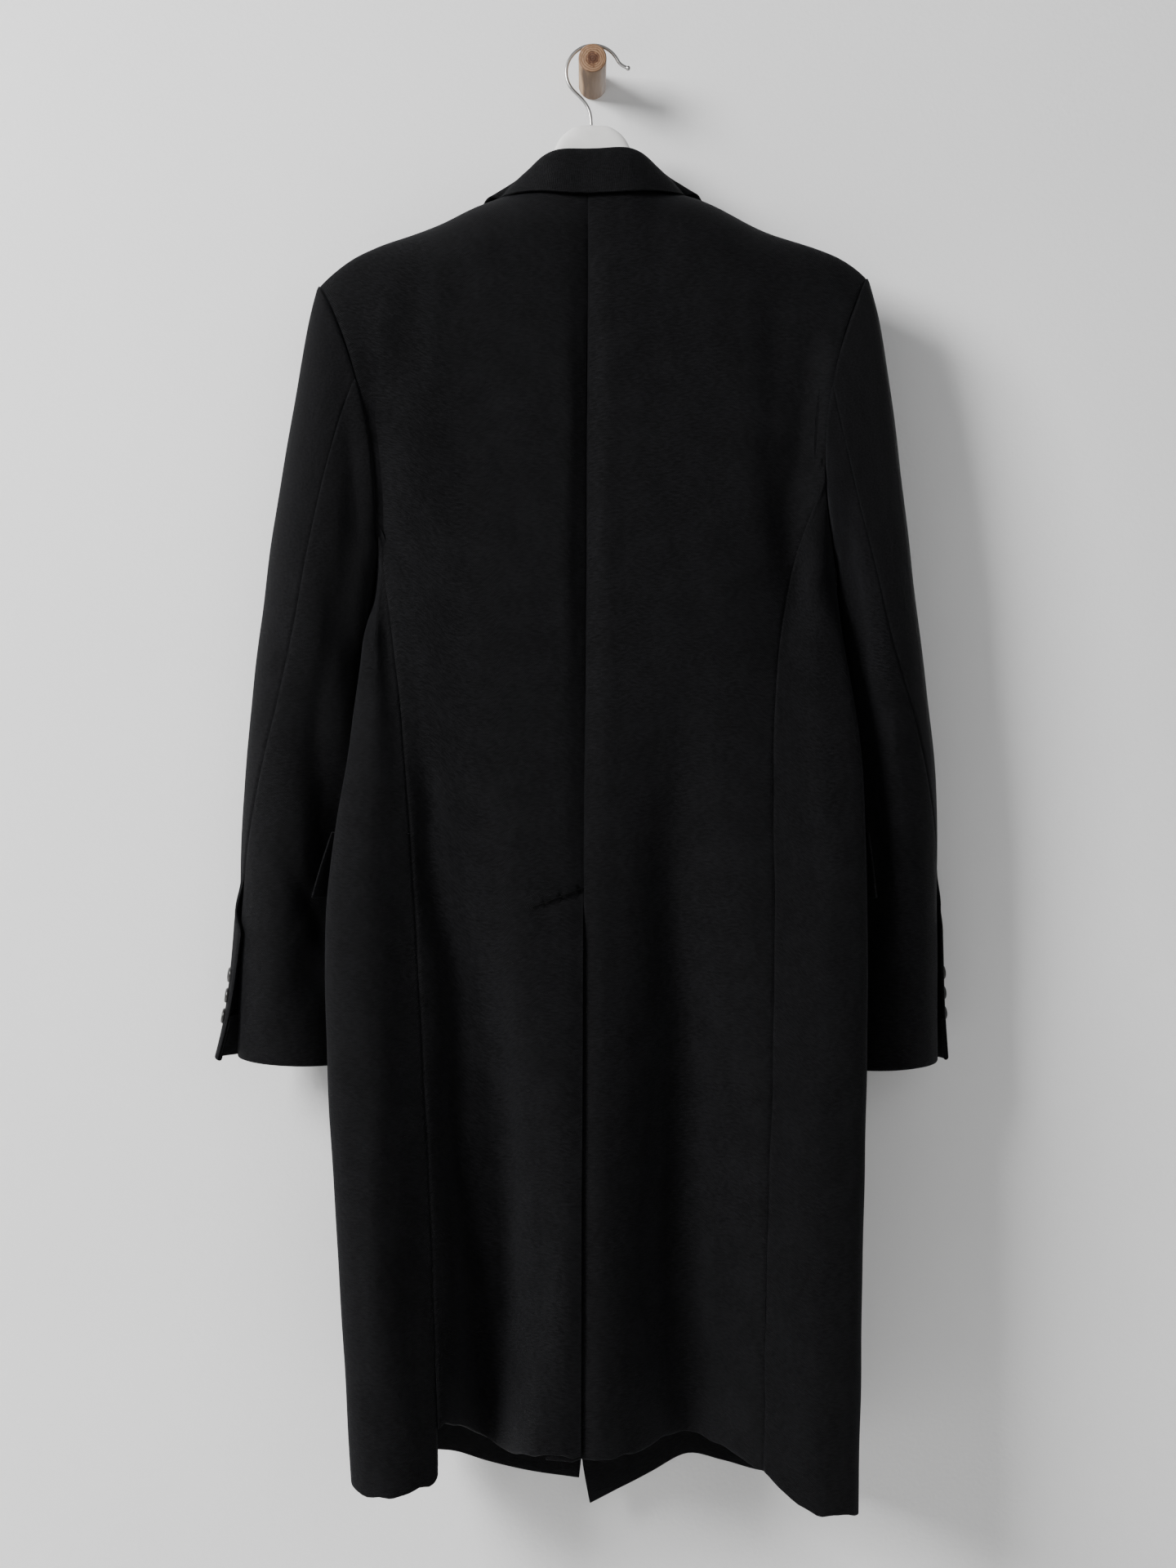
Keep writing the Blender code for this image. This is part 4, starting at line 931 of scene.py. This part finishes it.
# %% The two backs
UNDERLAP_SINK = np.array([16, 16, 16, 13, 7]) / 10000  # one for each column of the underlap
VENT_FOLD = 9           # the right back's columns up to where the underlap has turned in
VENT_EDGE = {LEFT: 0.0016, RIGHT: -0.0020}  # how far an edge of the vent stands out
VENT_EDGE_WIDTH = 0.011
CENTRE_PULL = 0.0030    # how far the centre seam draws the cloth in
CENTRE_WIDTH = 0.013
WELT_FALL = 0.0026      # how far the cloth below the slanting stitches falls in
WELT_RISE = 0.0006      # and how far it stands out above them
BACK_FACE = (0, -1, 0)
FRONT_FACE = (0, 1, 0)
vent_rows = np.append(np.linspace(-0.030, 0.006, 34), 0) + VENT_TOP
low = np.union1d(np.linspace(0, 1, 150), row_at(vent_rows) / JOIN_SHARE)
high = 1 - (1 - np.linspace(0, 1, 71)[1:]) ** 1.6
ROWS = np.append(low * JOIN_SHARE, JOIN_SHARE + (1 - JOIN_SHARE) * high)
edge_first = np.array([0, 0.006, 0.012, 0.020, 0.03])
BACK_GRID = np.concatenate([edge_first, np.linspace(0.04, 0.36, 24), np.linspace(0.39, 0.95, 21),
                            1 - edge_first[::-1]])
STITCH_FROM = (-0.0505, -0.7445)
STITCH_TO = (-0.0095, -0.7290)


def vent_welt(x, z):
    """How far the cloth stands out above the slanting stitches, and falls in below them."""
    slope = (STITCH_TO[1] - STITCH_FROM[1]) / (STITCH_TO[0] - STITCH_FROM[0])
    line = STITCH_FROM[1] + (x - STITCH_FROM[0]) * slope
    below = line - z
    span = ease((x - STITCH_FROM[0] + 0.004) / 0.010) * ease((0.004 - x) / 0.006)
    fall, rise = -WELT_FALL * np.exp(-below / 0.010), WELT_RISE * np.exp(below / 0.008)
    return np.where(below > 0, fall, rise) * span


for side, word in SIDES:
    grid_u, kept = BACK_GRID, None
    if side == RIGHT:
        grid_u = np.concatenate([[-3, -2.5, -2, -1.5, -1], BACK_GRID])
        u, v = np.meshgrid(grid_u[:-1], ROWS[1:])
        kept = ~((u < -1.6) & (v > VENT_SHARE_BACK + 1e-6))
    points = placed(back_panel, grid_u, ROWS, side)
    normal = outward(points, BACK_FACE)
    if side == RIGHT:
        normal[:, :VENT_FOLD] = normal[:, VENT_FOLD:VENT_FOLD + 1]
    x, z = points[..., 0], points[..., 2]
    sink = crease_depth(BACK_CREASES, x, z) + ripple(x, z)
    if side == LEFT:
        sink = sink - vent_welt(x, z)
    else:
        sink[:, :5] += UNDERLAP_SINK
    first = len(grid_u) - len(BACK_GRID)
    width = reach(points, 1)
    from_middle = abs(width - width[:, first:first + 1])
    closed, opened = ease((z - STITCH_TO[1] + 0.001) / 0.004), ease((STITCH_TO[1] - 0.004 - z) / 0.05)
    pull = ease((z + 0.735) / 0.20) * ease((-0.135 - z) / 0.05)
    sink = sink + SEAM_DIP * closed * (1 - ease(from_middle / SEAM_ROLL))
    sink = sink - VENT_EDGE[side] * opened * np.exp(-((from_middle / VENT_EDGE_WIDTH) ** 2))
    sink = sink + CENTRE_PULL * pull * np.exp(-from_middle / CENTRE_WIDTH)
    body = wavy_hem(shaped(points, normal, sink))
    if side == LEFT:
        body = lifted_hem(body)
    whole = turned_up(body, normal)
    if kept is not None:
        added = len(whole) - len(body)
        kept = np.concatenate([np.repeat(kept[:1], added, axis=0), kept])
    cloth_piece(f"back_{word}", whole, kept=kept)
print("backs:", len(ROWS), "rows of", len(BACK_GRID), "points each")

# %% [markdown]
# The sides and the fronts are made the same way. A front's free edge has a facing inside it,
# which is the one that shows below the back's hem.

# %% Sides, fronts and facings
SIDE_GRID = np.concatenate([edge_first, np.linspace(0.05, 0.95, 34), 1 - edge_first[::-1]])
FRONT_GRID = np.concatenate([np.linspace(0, 0.95, 36), 1 - edge_first[::-1]])
FACING_RISE = 0.009     # from a front's hem up to the facing's own edge
FACING_INSET = 0.0015   # from a front's edge to the facing's
FACING_SPACE = 0.0030   # from a front to the facing inside it
FACING_WALL = 0.0014
FACING_EDGE = table("z left right",
    (-1290, -10, 2), (-1271, -30, 14), (-1251, -49, 35), (-1235, -80, 56), (-1220, -90, 76),
    (-1150, -96, 96), (-450, -96, 96),
)

for side, word in SIDES:
    points = placed(side_panel, SIDE_GRID, low, side)
    normal = outward(points, (side, 0, 0))
    x, y, z = np.moveaxis(points, 2, 0)
    sink = crease_depth(BACK_CREASES, x, z) * np.clip(-normal[..., 1], 0, 1) + ripple(x + y, z)
    body = wavy_hem(shaped(points, normal, sink, left=True))
    cloth_piece(f"side_{word}", turned_up(*underlap(body, normal)))

    points = placed(front_panel, FRONT_GRID, ROWS, side)
    normal = outward(points, FRONT_FACE)
    x = points[..., 0]
    sink = crease_depth(FRONT_CREASES, x, points[..., 2]) * ease((abs(x) - 0.030) / 0.020)
    cloth_piece(f"front_{word}", turned_up(shaped(points, normal, sink), normal))
    heights = np.linspace(-1.245, -0.45, 160)
    edge, far = front_edge(side, heights), column(FACING_EDGE, word, heights)
    share = np.linspace(0.004, 1, 30)
    x = edge[:, None] + (far - edge)[:, None] * share
    lowest = column(FRONT_HEM[side], "z", x) + FACING_RISE
    z = mix(lowest, heights[:, None], np.linspace(0, 1, len(heights))[:, None] ** 0.5)
    inside = front_edge(side, z) + side * FACING_INSET
    x = np.maximum(x * side, inside * side) * side
    y = tucked(side, x, front_depth(x, z))
    points = np.stack([x, y - WALL - FACING_SPACE, z], axis=2)
    cloth_piece(f"front_facing_{word}", points, wall=FACING_WALL)
print("sides and fronts done")

# %% [markdown]
# A sleeve's sheet starts at the armhole and ends at the cuff, so its rows are turned over before
# the hem is added, which turns the cuff in. The armhole seam is where the sleeve head stands a
# little higher than the body: the rows nearest to it dip in, and a turned edge closes the space.

# %% Sleeves
SLEEVE_GRID = np.concatenate([edge_first, np.linspace(0.05, 0.95, 38), 1 - edge_first[::-1]])
SLEEVE_SHARES = np.concatenate([np.linspace(0, 0.84, 120), np.linspace(0.845, 1, 40)])
UNDERARM = {LEFT: 0.0038, RIGHT: 0.0018}  # how far a sleeve rests against the side there
# How far down and inwards the strips of a sleeve head's turned edge lie
HEAD_TURN = ((0.0016, 0.0010), (0.0036, 0.0030), (0.0042, 0.0120))

for side, word in SIDES:
    for kind, place, facing in (("top", top_sleeve, side), ("under", under_sleeve, -side)):
        points = placed(place, SLEEVE_GRID, SLEEVE_SHARES, side)[::-1]
        x, y, z = np.moveaxis(points, 2, 0)
        under = ease((0.228 - abs(x)) / 0.025) * ease((z + 0.545) / 0.04) * ease((-0.420 - z) / 0.02)
        x -= side * UNDERARM[side] * under
        normal = outward(points, (facing, 0, 0))
        backwards = normal[..., 1] * 1.6
        sink = crease_depth(SLEEVE_CREASES, x, z) * np.clip(-backwards, 0, 1)
        sink = sink + crease_depth(SLEEVE_CREASES, x * 0.98, z + 0.03) * np.clip(backwards, 0, 1)
        sink = (sink + ripple(x * 1.3 + y, z)) * ease((z[-1:] - z) / 0.03)
        body = shaped(points, normal, sink, left=True)
        if kind == "under":
            body, normal = underlap(body, normal)
        up, inwards = normal[-1], np.array([-side, 0, 0])
        head = [body[-1] - up * down + inwards * on for down, on in HEAD_TURN]
        body = np.concatenate([body, head])
        normal = np.concatenate([normal, [up] * len(head)])
        cloth_piece(f"{kind}_sleeve_{word}", turned_up(body, normal))
print("sleeves done")

# %% [markdown]
# The collar, lapels and flaps are small and stiffened inside, so they stay smooth: no crease and
# no ripple is laid on them.

# %% Collar, lapels and flaps
points = placed(collar, np.linspace(-1, 1, 161), np.concatenate([np.linspace(0, 0.4, 14),
                np.linspace(0.42, 0.56, 10), np.linspace(0.6, 1, 22)]))
cloth_piece("collar", points)
for side, word in SIDES:
    for name, place, columns, rows in (("lapel", lapel, 24, 80), ("pocket_flap", flap, 70, 24)):
        points = placed(place, np.linspace(0, 1, columns), np.linspace(0, 1, rows), side)
        cloth_piece(f"{name}_{word}", points)
print("collar, lapels and flaps done")

# %% [markdown]
# The buttons are dark horn: a domed rim round a shallow dish, with four holes that a cross of
# thread fills, and a short shank of thread behind. One profile, spun round, gives them all.

# %% Buttons
FRONT_BUTTON = (0.023, 0.0045)  # width and height
CUFF_BUTTON = (0.0135, 0.0040)
CUFF_BUTTON_INSET = 0.90        # where the row lies, across the top sleeve
CUFF_BUTTON_SINK = 0.0028       # from the solid's place to the scene's own sleeve
CUFF_BUTTON_Z = (-0.808, -0.826, -0.844)
HORN, tree, shader, place, grain = mottled(
    "black horn", 0.30, 0.5, 240, 4, (0.35, (0.0030, 0.0029, 0.0030)),
    (0.70, (0.0130, 0.0115, 0.0105)), distortion=1.4)
bump(tree, shader, grain, 0.00005)
THREAD, tree, shader, place, grain = mottled(
    "black thread", 0.8, 0.08, 1800, 2, (0.3, (0.0003, 0.0003, 0.0004)), (0.7, (0.0014, 0.0014, 0.0016)))
bump(tree, shader, grain, 0.00006)


def spun(bm, profile, steps=40):
    """Spins (radius, height) points round Z into a closed shape."""
    verts = [bm.verts.new((radius, 0, height)) for radius, height in profile]
    edges = [bm.edges.new(pair) for pair in zip(verts, verts[1:])]
    bmesh.ops.spin(bm, geom=verts + edges, cent=(0, 0, 0), axis=(0, 0, 1), angle=2 * np.pi,
                   steps=steps, use_merge=True, use_duplicate=False)
    bmesh.ops.remove_doubles(bm, verts=bm.verts, dist=1e-6)
    bmesh.ops.recalc_face_normals(bm, faces=bm.faces)


def stitch(bm, start, end, radius):
    """A short rounded length of thread between two points."""
    start, end = Vector(start), Vector(end)
    made = bmesh.ops.create_uvsphere(bm, u_segments=8, v_segments=6, radius=radius)["verts"]
    half = (end - start).length / 2
    for vert in made:
        vert.co.z += half * np.sign(vert.co.z)
    turn = Vector((0, 0, 1)).rotation_difference(end - start).to_matrix()
    bmesh.ops.rotate(bm, verts=made, matrix=turn)
    bmesh.ops.translate(bm, verts=made, vec=(start + end) / 2)


def button(name, centre, facing, width, height):
    """A four-hole button with its thread."""
    radius, low, high = width / 2, -height / 2, height / 2
    bm = bmesh.new()
    spun(bm, [(0, low), (radius * 0.72, low), (radius * 0.93, low * 0.5), (radius, low * 0.05),
              (radius * 0.97, high * 0.45), (radius * 0.84, high * 0.92), (radius * 0.70, high),
              (radius * 0.58, high * 0.82), (radius * 0.50, high * 0.35), (0, high * 0.25)])
    shell = len(bm.faces)
    hole = radius * 0.17
    for x, y in ((-hole, -hole), (hole, -hole)):
        stitch(bm, (x, y, high * 0.34), (-x, -y, high * 0.34), radius * 0.055)
    stitch(bm, (0, 0, low), (0, 0, low * 1.30), radius * 0.16)
    bm.faces.ensure_lookup_table()
    for face in bm.faces[shell:]:
        face.material_index = 1
    turn = Vector((0, 0, 1)).rotation_difference(Vector(facing)).to_matrix()
    bmesh.ops.rotate(bm, verts=bm.verts, matrix=turn)
    bmesh.ops.translate(bm, verts=bm.verts, vec=Vector(centre))
    return finish_mesh(name, bm, HORN, THREAD)


def cuff_button(side, z):
    """The way a cuff button faces, at that height of the lap."""
    steps = np.linspace(0.85, 1, 200)
    heights = top_sleeve(side, CUFF_BUTTON_INSET + 0 * steps, steps)[2]
    v = float(np.interp(-z, -heights, steps))
    step = 0.01

    def at(u, v):
        return Vector([float(value) for value in top_sleeve(side, np.float64(u), np.float64(v))])

    across = at(CUFF_BUTTON_INSET + step, v) - at(CUFF_BUTTON_INSET - step, v)
    along = at(CUFF_BUTTON_INSET, v + step) - at(CUFF_BUTTON_INSET, v - step)
    facing = across.cross(along).normalized()
    return -facing if facing.x * side < 0 else facing


def middle_of(name):
    low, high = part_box(name)
    return (Vector(low) + Vector(high)) / 2


buttons = {}
for number in (1, 2, 3):
    name = f"front_button_{number}"
    buttons[name] = button(name, middle_of(name), (0, 1, 0), *FRONT_BUTTON)
for side, word in SIDES:
    for number, z in enumerate(CUFF_BUTTON_Z, 1):
        name = f"cuff_button_{word}_{number}"
        facing = cuff_button(side, z)
        centre = middle_of(name) - facing * CUFF_BUTTON_SINK
        buttons[name] = button(name, centre, facing, *CUFF_BUTTON)
print(len(buttons), "buttons")

# %% [markdown]
# A slanting row of back stitches holds the top of the vent.

# %% Stitches at the vent
bm = bmesh.new()
STITCHES = 13
for step in range(STITCHES):
    place = np.array([step + 0.06, step + 0.94]) / STITCHES
    x = STITCH_FROM[0] + (STITCH_TO[0] - STITCH_FROM[0]) * place
    z = STITCH_FROM[1] + (STITCH_TO[1] - STITCH_FROM[1]) * place
    y = back_depth(x, z) - SEAM / 2 - WALL / 2 + ripple(x, z) - 0.0002
    stitch(bm, (x[0], y[0], z[0]), (x[1], y[1], z[1]), 0.00072)
vent_stitches = finish_mesh("vent_stitches", bm, THREAD)
print(STITCHES, "stitches")

# %% [markdown]
# The hanger is a solid moulding with two sloping arms. It is lofted from oval rings: a grid whose
# long edges meet, merged, with its two ends filled.

# %% Hanger
HANGER_HALF = 0.190
HANGER_THICK = 0.014
WIRE = 0.0030
HOOK_RADIUS = 0.0242
HOOK_X = 0.0007
HOOK_FROM, HOOK_TO = 214, 18  # where the hook's bow starts and ends, in degrees
TIP_BALL = 1.45         # size of the ball at its tip, against the wire's
PARTING_LINE = 0.00035  # how far the moulding's seam stands out, along its top and bottom
PEG_RADIUS = 0.0125
PEG_LENGTH = 0.063
PEG_EDGE = 0.0015
HANGER = table("x top bottom",
    (0, -57.3, -100), (18, -60, -102), (30, -71, -106), (40, -92, -114), (52, -115, -128),
    (70, -123.5, -140), (90, -129.6, -147), (140, -152.4, -172), (174, -168, -189),
    (186, -175.5, -191.5), (190, -181, -185),
)
PLASTIC, tree, shader, place, grain = mottled(
    "white plastic", 0.42, 0.5, 60, 5, (0.25, (0.66, 0.65, 0.63)), (0.80, (0.76, 0.75, 0.735)))
feed(tree, shader.inputs["Roughness"], plus(tree, times(tree, grain, 0.20), 0.30))
bump(tree, shader, noise(tree, place, 900), 0.00003)


def hanger_point(u, v):
    """A point of an oval ring at u from the middle, turned once round by v, with a parting line."""
    top, bottom = column(HANGER, "top", abs(u)), column(HANGER, "bottom", abs(u))
    thick = HANGER_THICK * np.sqrt(np.clip(1 - (abs(u) / (HANGER_HALF + 0.001)) ** 10, 0.05, 1))
    turn = 2 * np.pi * v
    line = PARTING_LINE * np.exp(-((np.cos(turn) ** 2 - 1) / 0.02) ** 2)
    z = mix(bottom, top, (1 + np.cos(turn)) / 2) + line * np.sign(np.cos(turn))
    return u, SHOULDER_Y + thick / 2 * np.sin(turn), z


stops = np.concatenate([np.linspace(0, 0.070, 40), np.linspace(0.074, 0.180, 40),
                        np.linspace(0.182, HANGER_HALF, 10)])
bm = bmesh.new()
points = placed(hanger_point, np.append(-stops[:0:-1], stops), np.linspace(0, 1, 41))
lay(bm, points)
bmesh.ops.remove_doubles(bm, verts=bm.verts, dist=1e-6)
bmesh.ops.holes_fill(bm, edges=bm.edges, sides=0)
bmesh.ops.recalc_face_normals(bm, faces=bm.faces)
hanger = finish_mesh("hanger", bm, PLASTIC)
print("hanger", round(2 * HANGER_HALF, 3), "m wide")

# %% [markdown]
# The hook is one bent wire, so it is a curve with a round bevel and capped ends. A small ball
# rounds its tip, as hook wires are finished, and its stem goes into the hanger.

# %% Hook
STEM = [(-0.0011, -0.0568), (-0.0018, -0.0478), (-0.0045, -0.0400), (-0.0105, -0.0325)]
TIP = [(0.0272, -0.0045), (0.0315, -0.0062)]
STEEL, tree, shader, place, grain = mottled(
    "bright steel wire", 0.30, 0.5, 60, 1, (0.3, (0.36, 0.352, 0.34)), (0.7, (0.44, 0.43, 0.42)),
    metallic=1.0)
feed(tree, shader.inputs["Roughness"], plus(tree, times(tree, grain, 0.06), 0.25))

bow_centre = PEG_RADIUS + SEAM + WIRE / 2 - HOOK_RADIUS
angles = np.radians(np.linspace(HOOK_FROM, HOOK_TO, 41))
bow = [(HOOK_X + HOOK_RADIUS * np.cos(a), bow_centre + HOOK_RADIUS * np.sin(a)) for a in angles]
route = np.array(STEM + bow + TIP)
far = np.append(0, np.cumsum(np.linalg.norm(np.diff(route, axis=0), axis=1)))
at = np.linspace(0, far[-1], 120)
wire = bpy.data.curves.new("hanger_hook", "CURVE")
wire.dimensions = "3D"
wire.bevel_depth = WIRE / 2
wire.bevel_resolution = 5
wire.use_fill_caps = True
line = wire.splines.new("POLY")
line.points.add(len(at) - 1)
path = np.stack([through(far, route[:, 0], at), through(far, route[:, 1], at)], axis=1)
for turn in range(14):
    path[1:-1] = path[1:-1] / 2 + (path[:-2] + path[2:]) / 4
for point, (x, z) in zip(line.points, path):
    point.co = (x, SHOULDER_Y, z, 1)
wire_object = bpy.data.objects.new("wire", wire)
bpy.context.scene.collection.objects.link(wire_object)
bpy.context.view_layer.update()
bm = bmesh.new()
bm.from_mesh(wire_object.to_mesh())
bpy.data.objects.remove(wire_object, do_unlink=True)
ball = bmesh.ops.create_uvsphere(bm, u_segments=20, v_segments=14,
                                 radius=WIRE / 2 * TIP_BALL)["verts"]
bmesh.ops.translate(bm, verts=ball, vec=Vector((path[-1][0], SHOULDER_Y, path[-1][1])))
hook = finish_mesh("hanger_hook", bm, STEEL)
print("hook wire", round(far[-1], 3), "m long")

# %% [markdown]
# The peg is a turned stick of pale wood, sawn off and a little rounded at its end. Grain runs
# along it, so its side shows long streaks and its end shows rings round a dark pith. One noise,
# stretched along the peg, makes the streaks and bends the rings.

# %% Peg
WOOD, tree, shader = surface("pale wood", 0.62, 0.35)
place = node(tree, "ShaderNodeTexCoord").outputs["Object"]
drawn = node(tree, "ShaderNodeMapping", {"Vector": place, "Scale": (190, 16, 190)}).outputs["Vector"]
strayed = noise(tree, drawn, 1, 4)
apart = node(tree, "ShaderNodeSeparateXYZ", {0: place}).outputs
off_x, off_z = plus(tree, apart["X"], -0.0004), plus(tree, apart["Z"], 0.0008)
from_pith = math_node(tree, "SQRT", plus(tree, times(tree, off_x, off_x), times(tree, off_z, off_z)))
rings = plus(tree, times(tree, from_pith, 3300), times(tree, strayed, 7))
ring_wave = times(tree, plus(tree, math_node(tree, "SINE", rings), 1), 0.5)
wood = ramp(tree, ring_wave, (0.0, (0.165, 0.098, 0.056)), (0.55, (0.270, 0.168, 0.100)),
            (1.0, (0.340, 0.225, 0.142)))
heart = plus(tree, times(tree, from_pith, 80), times(tree, noise(tree, place, 300, 4), 0.75))
pith = ramp(tree, heart, (0.62, (0.30, 0.20, 0.16)), (0.80, (0.55, 0.44, 0.38)), (0.93, (1, 1, 1)))
wood = multiplied(tree, 1.0, wood, pith)
streak = ramp(tree, strayed, (0.34, (0.50, 0.47, 0.46)), (0.50, (0.86, 0.86, 0.88)),
              (0.66, (1.10, 1.10, 1.12)))
along = times(tree, apart["Y"], -1 / PEG_LENGTH)
outside = ramp(tree, along, (0.93, (1, 1, 1)), (0.985, (0, 0, 0)))
wood = multiplied(tree, outside, wood, streak)
sawn = ramp(tree, along, (0.93, (1, 1, 0.90)), (0.985, (0.78, 0.70, 0.63)))
feed(tree, shader.inputs["Base Color"], multiplied(tree, 1.0, wood, sawn))
bump(tree, shader, strayed, 0.0012)

bm = bmesh.new()
end = -PEG_LENGTH
around = [(PEG_RADIUS - PEG_EDGE * (1 - np.cos(a)), PEG_EDGE * (1 - np.sin(a)))
          for a in np.radians(np.linspace(0, 90, 6))]
profile = [(0, 0), (PEG_RADIUS, 0), (PEG_RADIUS, PEG_LENGTH * 0.5)]
profile += [(radius, PEG_LENGTH - depth) for radius, depth in around] + [(0, PEG_LENGTH)]
spun(bm, profile, steps=64)
bmesh.ops.rotate(bm, verts=bm.verts, matrix=Matrix.Rotation(np.radians(90), 3, "X"))
peg = finish_mesh("wall_peg", bm, WOOD)
peg.data.set_sharp_from_angle(angle=np.radians(35))
print("peg", round(1000 * PEG_LENGTH), "mm long")

# %% [markdown]
# Every piece now rides on the part's one body and takes the place of the solid of its own name,
# where there is one, which is hidden. For each sheet of cloth the widest row and the longest
# column are measured on the sheet itself, hems and seam allowances included.


def join(name, piece, slot, stands_for=True):
    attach(piece, "root")
    if stands_for:
        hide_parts(name)


for name, (piece, points) in CLOTH_PIECES.items():
    join(name, piece, "black_wool", stands_for="facing" not in name)
    across, along = reach(points, 1)[:, -1].max(), reach(points, 0)[-1].max()
    kind = name.removesuffix("_left").removesuffix("_right")
for name, piece in buttons.items():
    join(name, piece, "black_button")
join("hanger", hanger, "white_plastic")
join("hanger_hook", hook, "steel_wire")
join("wall_peg", peg, "pale_wood")
join("vent_stitches", vent_stitches, "black_wool", stands_for=False)

# %% [markdown]
# The stage is a pale painted wall, a plain pale floor well below the hem, and daylight from the
# upper left: one soft lamp for the window and a weak one for the room. The wall lets light and
# sight through from behind, where a third lamp stands, so that the coat's front can be seen too.

# %% Stage and light
def stage_plane(name, corners, material):
    bm = bmesh.new()
    bm.faces.new([bm.verts.new(corner) for corner in corners])
    finish_mesh(name, bm, material)


WALL_PAINT, tree, shader, place, _ = mottled(
    "wall paint", 0.85, 0.25, 2.2, 6, (0.3, (0.760, 0.760, 0.762)), (0.7, (0.800, 0.800, 0.800)))
bump(tree, shader, noise(tree, place, 260, 3), 0.0004, 0.5)
seen = node(tree, "ShaderNodeNewGeometry").outputs["Backfacing"]
ray = node(tree, "ShaderNodeLightPath").outputs["Is Shadow Ray"]
clear = node(tree, "ShaderNodeBsdfTransparent").outputs[0]
either = node(tree, "ShaderNodeMixShader", {0: math_node(tree, "MAXIMUM", seen, ray),
                                            1: shader.outputs[0], 2: clear})
feed(tree, tree.nodes["Material Output"].inputs[0], either.outputs[0])
FLOOR_PAINT, tree, shader = surface("floor", 0.75, 0.25)
shader.inputs["Base Color"].default_value = (0.72, 0.715, 0.705, 1)
FLOOR_Z = -1.78
stage_plane("wall", [(-4, 0.001, FLOOR_Z), (4, 0.001, FLOOR_Z), (4, 0.001, 1.6), (-4, 0.001, 1.6)],
            WALL_PAINT)
stage_plane("floor", [(-4, -5, FLOOR_Z), (4, -5, FLOOR_Z), (4, 4, FLOOR_Z), (-4, 4, FLOOR_Z)],
            FLOOR_PAINT)


def lamp(name, place, target, size, power):
    data = bpy.data.lights.new(name, "AREA")
    data.size = size
    data.energy = power
    made = bpy.data.objects.new(name, data)
    made.location = place
    made.rotation_euler = (Vector(target) - Vector(place)).to_track_quat("-Z", "Y").to_euler()
    bpy.context.scene.collection.objects.link(made)


lamp("window", (-2.55, -2.00, 0.85), (-0.35, 0, -0.80), 1.3, 240)
lamp("room", (1.3, -3.2, 0.5), (0, 0, -0.7), 2.4, 20)
lamp("behind", (0.9, 2.6, 0.3), (0, 0, -0.6), 2.0, 70)
world = bpy.data.worlds.new("room")
world.use_nodes = True
world.node_tree.nodes["Background"].inputs["Color"].default_value = (0.95, 0.97, 1.0, 1)
world.node_tree.nodes["Background"].inputs["Strength"].default_value = 0.16
bpy.context.scene.world = world
print("stage set")
